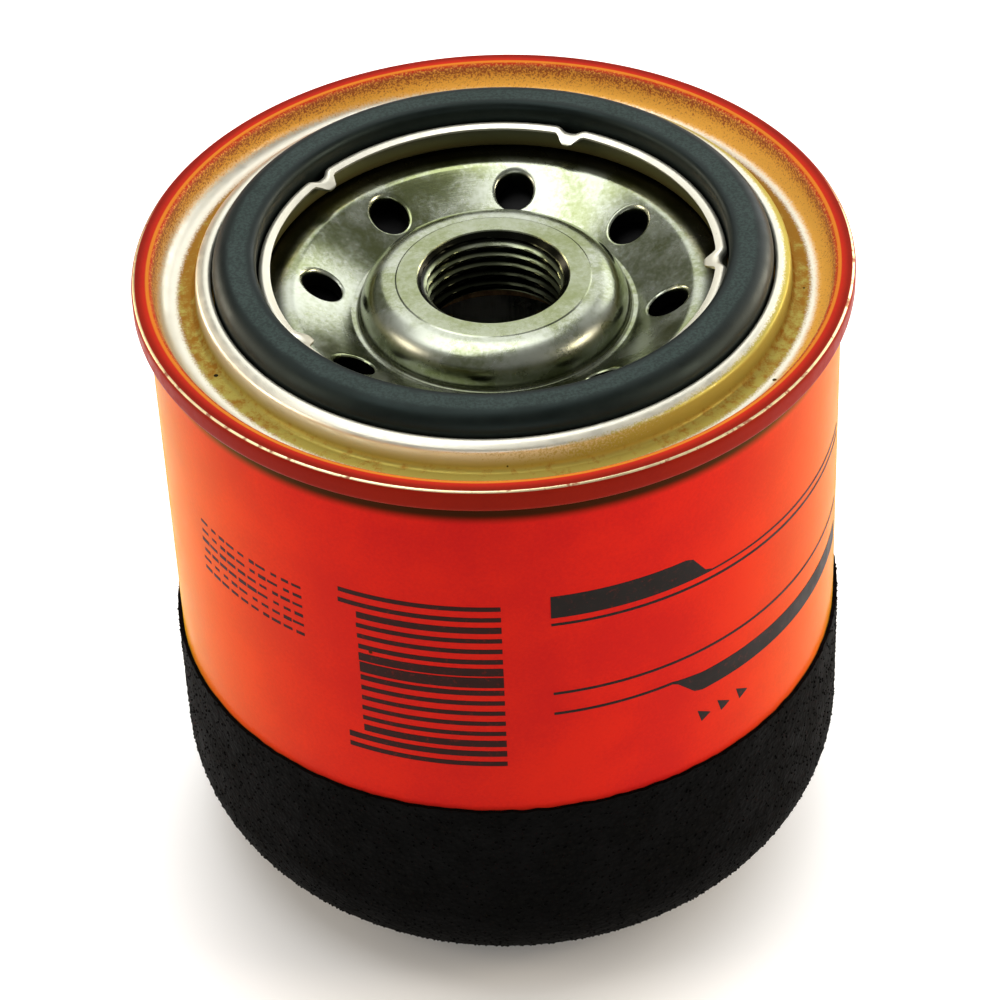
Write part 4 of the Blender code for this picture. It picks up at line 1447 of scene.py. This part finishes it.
@dataclass
class Lid:
    """Rolled lid ring with its staked lip, and the gasket in its channel."""

    seam_top: float = 91.0
    seam_height: float = 3.2
    seam_round: float = 0.4
    chuck_round: float = 0.6
    chuck_taper: float = 0.5
    sheet: float = 0.45
    seam_pitch: float = 0.57
    can_middle: float = 44.775
    floor: float = 87.6
    floor_round: float = 2.7
    ridge_inner: float = 36.45
    ridge_outer: float = 38.45
    ridge_top: float = 91.15
    ridge_slope: float = 0.25
    ridge_fall: float = 0.5
    crown: float = 37.3
    crown_round: float = 1.2
    ridge_round: float = 0.45
    lip_outer: float = 30.25
    lip_inner: float = 28.85
    lip_top: float = 91.4
    lip_droop: float = 0.45
    lip_round: float = 0.4
    lip_foot_round: float = 0.5
    channel_round: float = 0.25
    channel_foot_round: float = 0.3
    ridge_foot_round: float = 1.0
    stake_count: int = 5
    stake_turn: float = -4.5
    stake_depth: float = 0.8
    stake_reach: float = 1.6
    stake_drop: float = 0.7
    stake_width: float = 4.2
    stake_side: float = 0.8
    stake_foot: float = 89.3
    stake_rise: float = 1.2
    stake_root_share: float = 0.2
    stake_margin: float = 0.1
    gasket_inner: float = 30.5
    gasket_outer: float = 36.2
    gasket_bottom: float = 87.7
    gasket_top: float = 93.7
    gasket_shoulder: float = 2.5
    gasket_round: float = 1.0
    gasket_foot_round: float = 0.4
    gasket_land: Span = (31.7, 34.0)
    gasket_steps: int = 300
    spacing: float = 0.19
    longest: float = 0.7
    sharp: float = 50.0
    steps: int = 420

    def press_stakes(self, angle: Array, radius: Array, height: Array) -> Moved:
        """Punch a tongue of the lip's flange inward and down at each stake.

        Args:
            angle: Angle of each point.
            radius: Distance from the axis.
            height: Height of each point.

        Returns:
            The new distances and heights.
        """
        pitch = math.tau / self.stake_count
        off = (angle - math.radians(self.stake_turn) + pitch / 2) % pitch - pitch / 2
        across = np.abs(off) * self.lip_outer / (self.stake_width / 2)
        dent = smooth_step(1.0 - across, 0.0, self.stake_side)
        on_lip = smooth_step(height, self.stake_foot, self.stake_foot + self.stake_rise)
        pressed = dent * on_lip * (radius < self.lip_outer + self.stake_margin)
        share = np.clip((self.lip_outer - radius) / (self.lip_outer - self.lip_inner), 0.0, 1.0)
        inward = pressed * (self.stake_depth + (self.stake_reach - self.stake_depth) * share)
        sunk = self.stake_root_share + (1.0 - self.stake_root_share) * share
        return radius - inward, height - pressed * self.stake_drop * sunk

    def build_ring(self) -> Object:
        """The lid from its cover hook to the staked lip.

        Returns:
            The new object.
        """
        half = self.sheet / 2
        top = self.seam_top - half
        low = self.seam_top - self.seam_height + half
        floor = self.floor - half
        fold = self.seam_pitch * FOLD_SHARE
        hook = self.can_middle + self.seam_pitch
        wall = self.can_middle + 3 * self.seam_pitch
        chuck = self.can_middle - self.seam_pitch
        lip = self.lip_outer - half
        ridge_top = self.ridge_top - half
        path = rounded([
            (hook, top - 2 * self.seam_pitch, 0), (hook, low, fold), (wall, low, fold),
            (wall, top, self.seam_round), (chuck, top, self.chuck_round),
            (chuck - self.chuck_taper, floor, self.floor_round),
            (self.ridge_outer + self.ridge_slope - half, floor, self.ridge_foot_round),
            (self.ridge_outer - half, ridge_top - self.ridge_fall, self.ridge_round),
            (self.crown, ridge_top, self.crown_round),
            (self.ridge_inner + half, ridge_top, self.channel_round),
            (self.ridge_inner + half, floor, self.channel_foot_round),
            (lip, floor, self.lip_foot_round), (lip, self.lip_top - half, self.lip_round),
            (self.lip_inner, self.lip_top - self.lip_droop - half, 0)],
            closed=False, spacing=self.spacing)
        outline = bent_sheet(refined(path, self.longest, False), self.sheet)
        return turned("rolled_lid", outline, self.steps, self.press_stakes, self.sharp)

    def build_gasket(self) -> Object:
        """The rubber ring, rounder on its outer shoulder.

        Returns:
            The new object.
        """
        outline = rounded([(self.gasket_inner, self.gasket_bottom, self.gasket_foot_round),
                           (self.gasket_outer, self.gasket_bottom, self.gasket_foot_round),
                           (self.gasket_outer, self.gasket_top, self.gasket_shoulder),
                           (self.gasket_inner, self.gasket_top, self.gasket_round)])
        return turned("gasket_ring", refined(outline, self.longest), self.gasket_steps)

    def build(self) -> None:
        """Make and settle the lid and the gasket."""
        settle(self.build_ring(), Body.HOUSING, Slot.LID, PlatedLid().material(), "seaming_lid")
        rubber = Rubber("gasket_finish", srgb(6, 9, 8), srgb(14, 18, 16), land=self.gasket_land)
        settle(self.build_gasket(), Body.HOUSING, Slot.GASKET, rubber.material(), "sealing_gasket")


@dataclass
class BasePlate:
    """Stamped plate with its inlet ring and threaded hub."""

    edge: float = 41.0
    edge_round: float = 0.3
    flange_top: float = 87.05
    sheet: float = 2.2
    dish: float = 26.2
    dish_round: float = 2.2
    under_round: float = 0.6
    valley: float = 18.6
    valley_top: float = 83.0
    valley_round: float = 0.8
    hub: float = 17.5
    hub_top: float = 88.0
    hub_round: float = 4.2
    hub_flare: float = 0.2
    hub_foot: float = 0.5
    land_outer: float = 12.8
    land_step: float = 0.12
    land_round: float = 0.08
    land_bevel: float = 0.2
    bore: float = 8.725
    mouth: float = 1.25
    bore_end: float = 79.0
    thread_pitch: float = 1.5875
    thread_depth: float = 0.8
    thread_half: float = 0.40
    thread_flank: float = 0.32
    thread_fade: float = 0.3
    bore_rows: int = 96
    bore_start: float = 0.02
    collar_round: float = 0.8
    inlet_count: int = 8
    inlet: float = 6.0
    inlet_circle: float = 45.4
    inlet_turn: float = 36.6
    inlet_flare: float = 0.5
    inlet_roll: float = 0.55
    punch_sheets: float = 4.0
    longest_top: float = 1.2
    longest_back: float = 1.5
    sharp: float = 28.0
    steps: int = 320

    def cut_thread(self, angle: Array, radius: Array, height: Array) -> Moved:
        """Right-hand thread in the wall of the bore, run out in its mouth.

        Args:
            angle: Angle of each point.
            radius: Distance from the axis.
            height: Height of each point.

        Returns:
            The new distances and heights.
        """
        wall = np.abs(radius - self.bore) < WALL_TOLERANCE
        mouth = self.bore + np.clip(height - (self.hub_top - self.mouth), 0.0, self.mouth)
        phase = (height / self.thread_pitch - angle / math.tau) % 1.0
        groove = np.clip((self.thread_half - np.abs(phase - 0.5)) / self.thread_flank, 0.0, 1.0)
        fade = smooth_step(height, self.bore_end, self.bore_end + self.thread_fade)
        cut = np.maximum(mouth, self.bore + groove * self.thread_depth * fade)
        return np.where(wall, cut, radius), height

    def slope(self) -> float:
        """Slope of the ring that the inlets are in."""
        return math.atan2(self.flange_top - self.valley_top, self.dish - self.valley)

    def outline(self) -> Outline:
        """Section of the plate, with close rows along the bore.

        Returns:
            The outline's points.
        """
        shift = self.sheet * math.tan(self.slope() / 2)
        under = self.hub_top - self.sheet
        shoulder = self.hub_top - self.land_step
        low = self.flange_top - self.sheet
        bore_wall = self.bore + self.sheet
        top = rounded([
            (self.edge, low, self.edge_round), (self.edge, self.flange_top, self.edge_round),
            (self.dish, self.flange_top, self.dish_round), (self.valley, self.valley_top, self.valley_round),
            (self.hub + self.hub_flare, self.valley_top, self.hub_foot),
            (self.hub, self.valley_top + self.hub_foot, self.hub_flare),
            (self.hub, shoulder, self.hub_round), (self.land_outer, shoulder, self.land_round),
            (self.land_outer - self.land_bevel, self.hub_top, self.land_round),
            (self.bore + self.mouth, self.hub_top, 0)], closed=False)
        rows = np.linspace(self.hub_top - self.bore_start, self.bore_end, self.bore_rows)
        bore = [(self.bore, float(row)) for row in rows]
        inside = self.hub - self.sheet
        valley = self.valley_top - self.sheet
        back = rounded([
            (self.bore, self.bore_end, 0), (bore_wall, self.bore_end, self.edge_round),
            (bore_wall, under, self.collar_round), (inside, under, self.hub_round - self.sheet),
            (inside, valley, self.edge_round), (self.valley + shift, valley, self.under_round),
            (self.dish + shift, low, self.under_round), (self.edge, low, 0)], closed=False)
        return refined(top, self.longest_top, False) + bore + refined(back[1:-1], self.longest_back, False)

    def build(self) -> None:
        """Make and settle the plate."""
        steel = PlatedSteel().material()
        plate = turned("stamped_plate", self.outline(), self.steps, self.cut_thread, self.sharp)
        slope = self.slope()
        circle = self.inlet_circle / 2
        height = self.flange_top - (self.dish - circle) * math.tan(slope)
        throat = self.inlet / 2 - self.inlet_flare
        punch_plan().apply(plate, steel, count=self.inlet_count, circle=circle * MM, hole=throat * MM,
                           height=height * MM, turn=math.radians(self.inlet_turn),
                           depth=self.punch_sheets * self.sheet * MM, slope=slope,
                           flare=self.inlet_flare * MM, roll=self.inlet_roll * MM)
        plate.data.shade_smooth()
        plate.data.set_sharp_from_angle(angle=math.radians(self.sharp))
        settle(plate, Body.HOUSING, Slot.PLATE, steel, "base_plate")


@dataclass
class DrainValve:
    """Rubber flap under the plate, with a thin cone and a thick lip."""

    collar_inner: float = 11.325
    collar_outer: float = 18.6
    collar_top: float = 80.7
    foot: float = 77.7
    flap_root: float = 80.0
    lip_inner: float = 29.28
    lip_outer: float = 31.48
    lip_low: float = 82.85
    lip_high: float = 84.75
    flap_under: float = 78.8
    flap_turn: float = 19.8
    collar_round: float = 0.3
    flap_round: float = 0.4
    lip_round: float = 0.5
    lip_foot_round: float = 0.6
    lip_bevel: float = 0.7
    longest: float = 0.8
    travel: float = 2.5
    steps: int = 160

    def outline(self) -> Outline:
        """Section of the collar, the thin cone and the thick lip.

        Returns:
            The outline's points.
        """
        return rounded([
            (self.collar_inner, self.collar_top, self.collar_round),
            (self.collar_outer, self.collar_top, self.collar_round),
            (self.collar_outer, self.flap_root, self.collar_round),
            (self.lip_inner, self.lip_high - self.lip_bevel, self.flap_round),
            (self.lip_inner + self.lip_bevel, self.lip_high, self.collar_round),
            (self.lip_outer, self.lip_high, self.lip_round), (self.lip_outer, self.lip_low, self.lip_round),
            (self.lip_inner, self.lip_low, self.lip_foot_round),
            (self.flap_turn, self.flap_under, self.flap_round), (self.flap_turn, self.foot, self.flap_round),
            (self.collar_inner, self.foot, self.collar_round)])

    def build(self, rubber: Material) -> None:
        """Make and settle the valve.

        Args:
            rubber: Material of the valve.
        """
        valve = turned("drain_valve_rubber", refined(self.outline(), self.longest), self.steps)
        settle(valve, Body.FLAP, Slot.VALVE, rubber, "anti_drain_valve")
        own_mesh(valve)


@dataclass
class Coil:
    """Wire spring wound from its foot to its top."""

    name: str
    node: str
    body: Body
    joint: str
    foot: float
    top: float
    fixed: float
    travel: float
    wire: float
    radius_low: float
    radius_high: float
    turns: float
    dead: float = 0.5
    sharp: float = 60.0

    def build(self, plan: ShapePlan, steel: Material) -> None:
        """Make and settle the spring.

        Args:
            plan: The tree that winds wire.
            steel: Material of the wire.
        """
        half = self.wire / 2
        holder = add_object(self.name, bpy.data.meshes.new(self.name))
        plan.apply(holder, steel, turns=self.turns, dead=self.dead, wire=half * MM,
                   bottom=self.radius_low * MM, top=self.radius_high * MM, low=(self.foot + half) * MM,
                   high=(self.top - half) * MM)
        finish_mesh(holder.data, self.sharp)
        settle(holder, self.body, Slot.SPRING, steel, self.node)
        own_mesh(holder)


@dataclass
class Lamp:
    """One soft rectangular lamp aimed at the filter."""

    name: str
    place: Triple
    size: Span
    power: float
    colour: Colour = WHITE
    aim: Triple = (0.0, 0.0, 0.05)

    def build(self) -> None:
        """Add the lamp to the scene."""
        data = bpy.data.lights.new(self.name, "AREA")
        data.shape = "RECTANGLE"
        data.size, data.size_y = self.size
        data.energy = self.power
        data.color = self.colour
        holder = add_object(self.name, data)
        holder.location = self.place
        holder.rotation_euler = (Vector(self.aim) - Vector(self.place)).to_track_quat("-Z", "Y").to_euler()


@dataclass
class Studio:
    """Plain floor, soft lamps and the camera."""

    camera_place: Triple = (0.0, -0.38970, 0.38569)
    camera_tilt: float = 40.774
    camera_pan: float = -0.068
    camera_roll: float = -2.585
    lens: float = 136.09
    sensor: float = 36.0
    near_clip: float = 0.01
    floor_size: float = 6.0
    floor_drop: float = 0.00005
    sky: Colour = (0.22, 0.22, 0.22)
    warm: Colour = (1.0, 0.86, 0.68)

    def build_camera(self) -> None:
        """Camera at the viewing angle."""
        data = bpy.data.cameras.new("camera")
        data.lens = self.lens
        data.sensor_width = self.sensor
        data.clip_start = self.near_clip
        holder = add_object("camera", data)
        tilt, pan, roll = (math.radians(v) for v in (self.camera_tilt, self.camera_pan, self.camera_roll))
        ahead = Vector((math.sin(pan) * math.cos(tilt), math.cos(pan) * math.cos(tilt), -math.sin(tilt)))
        right = Vector((math.cos(pan), -math.sin(pan), 0.0))
        up = right.cross(ahead)
        across = math.cos(roll) * right + math.sin(roll) * up
        upward = -math.sin(roll) * right + math.cos(roll) * up
        turn = Matrix((across, upward, -ahead)).transposed()
        holder.matrix_world = Matrix.Translation(self.camera_place) @ turn.to_4x4()
        bpy.context.scene.camera = holder

    def build_floor(self) -> None:
        """Wide pale floor under the filter."""
        half = self.floor_size / 2
        mesh = bpy.data.meshes.new("floor")
        corners = [(-half, -half, 0.0), (half, -half, 0.0), (half, half, 0.0), (-half, half, 0.0)]
        mesh.from_pydata(corners, [], [(0, 1, 2, 3)])
        floor = add_object("floor", mesh)
        floor.location.z = -self.floor_drop
        mesh.materials.append(FloorSweep().material())

    def build_sky(self) -> None:
        """Even grey surroundings."""
        world = bpy.data.worlds.new("surroundings")
        bpy.context.scene.world = world
        world.use_nodes = True
        world.node_tree.nodes["Background"].inputs["Color"].default_value = (*self.sky, 1.0)

    def build(self) -> None:
        """Set up the whole studio."""
        bpy.context.scene.view_settings.view_transform = "Standard"
        self.build_camera()
        self.build_floor()
        self.build_sky()
        lamps = (
            Lamp("top_softbox", (-0.14, 0.14, 0.8), (0.72, 0.45), 2.9),
            Lamp("back_panel", (-0.05, 0.8, 0.7), (0.7, 0.6), 1.6),
            Lamp("back_right_panel", (0.5, 0.66, 0.36), (0.5, 0.65), 2.3),
            Lamp("left_softbox", (-0.75, -0.1, 0.3), (0.25, 0.5), 2.5, self.warm),
            Lamp("right_softbox", (0.75, -0.15, 0.3), (0.25, 0.5), 3.8, self.warm),
            Lamp("left_rim", (-0.62, 0.38, 0.16), (0.25, 0.3), 2.2, self.warm),
            Lamp("right_rim", (0.62, 0.38, 0.16), (0.25, 0.3), 2.8, self.warm),
            Lamp("front_fill", (0.0, -0.9, 0.22), (0.8, 0.3), 1.2),
        )
        for lamp in lamps:
            lamp.build()


def build_inner_pieces() -> None:
    """Make the valve and the springs, and finish the inner pieces that keep their solids."""
    board = Fibre("cap_fibre_finish", srgb(196, 160, 112), srgb(140, 104, 66)).material()
    paper = Fibre("media_paper_finish", srgb(228, 206, 150), srgb(196, 168, 108), 0.8).material()
    sheet = BareSteel("sheet_steel_finish", srgb(206, 206, 202), srgb(150, 150, 146)).material()
    wire = BareSteel("spring_wire_finish", srgb(196, 196, 194), srgb(120, 120, 118), NO_LINES).material()
    black = Rubber("valve_rubber_finish", srgb(10, 10, 10), srgb(22, 22, 22), (0.5, 0.5, 0.5)).material()
    finishes = {
        "upper_end_cap": board, "lower_end_cap": board, "pleated_media": paper, "media_clip": sheet,
        "center_tube": sheet, "bypass_cage": sheet, "bypass_seat": sheet, "bypass_poppet": sheet,
        "bypass_seal": black,
    }
    for node, finish in finishes.items():
        dress_node(node, finish)
    DrainValve().build(black)
    plan = coil_plan()
    Coil("element_coil", "element_spring", Body.HOUSING, "element_float", foot=1.15, top=11.15, fixed=1.15,
         travel=2.0, wire=1.8, radius_low=20.0, radius_high=12.5, turns=3.0).build(plan, wire)
    Coil("bypass_coil", "bypass_spring", Body.ELEMENT, "bypass_lift", foot=14.15, top=27.25, fixed=27.25,
         travel=3.0, wire=0.9, radius_low=5.0, radius_high=5.0, turns=5.0).build(plan, wire)


def write_sizes() -> None:
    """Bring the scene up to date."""
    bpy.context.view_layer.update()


def main() -> None:
    """Build every sub-assembly and the studio."""
    logging.basicConfig(level=logging.INFO, format="%(name)s: %(message)s")
    Can().build()
    Lid().build()
    BasePlate().build()
    build_inner_pieces()
    Studio().build()
    write_sizes()


if __name__ == "__main__":
    main()
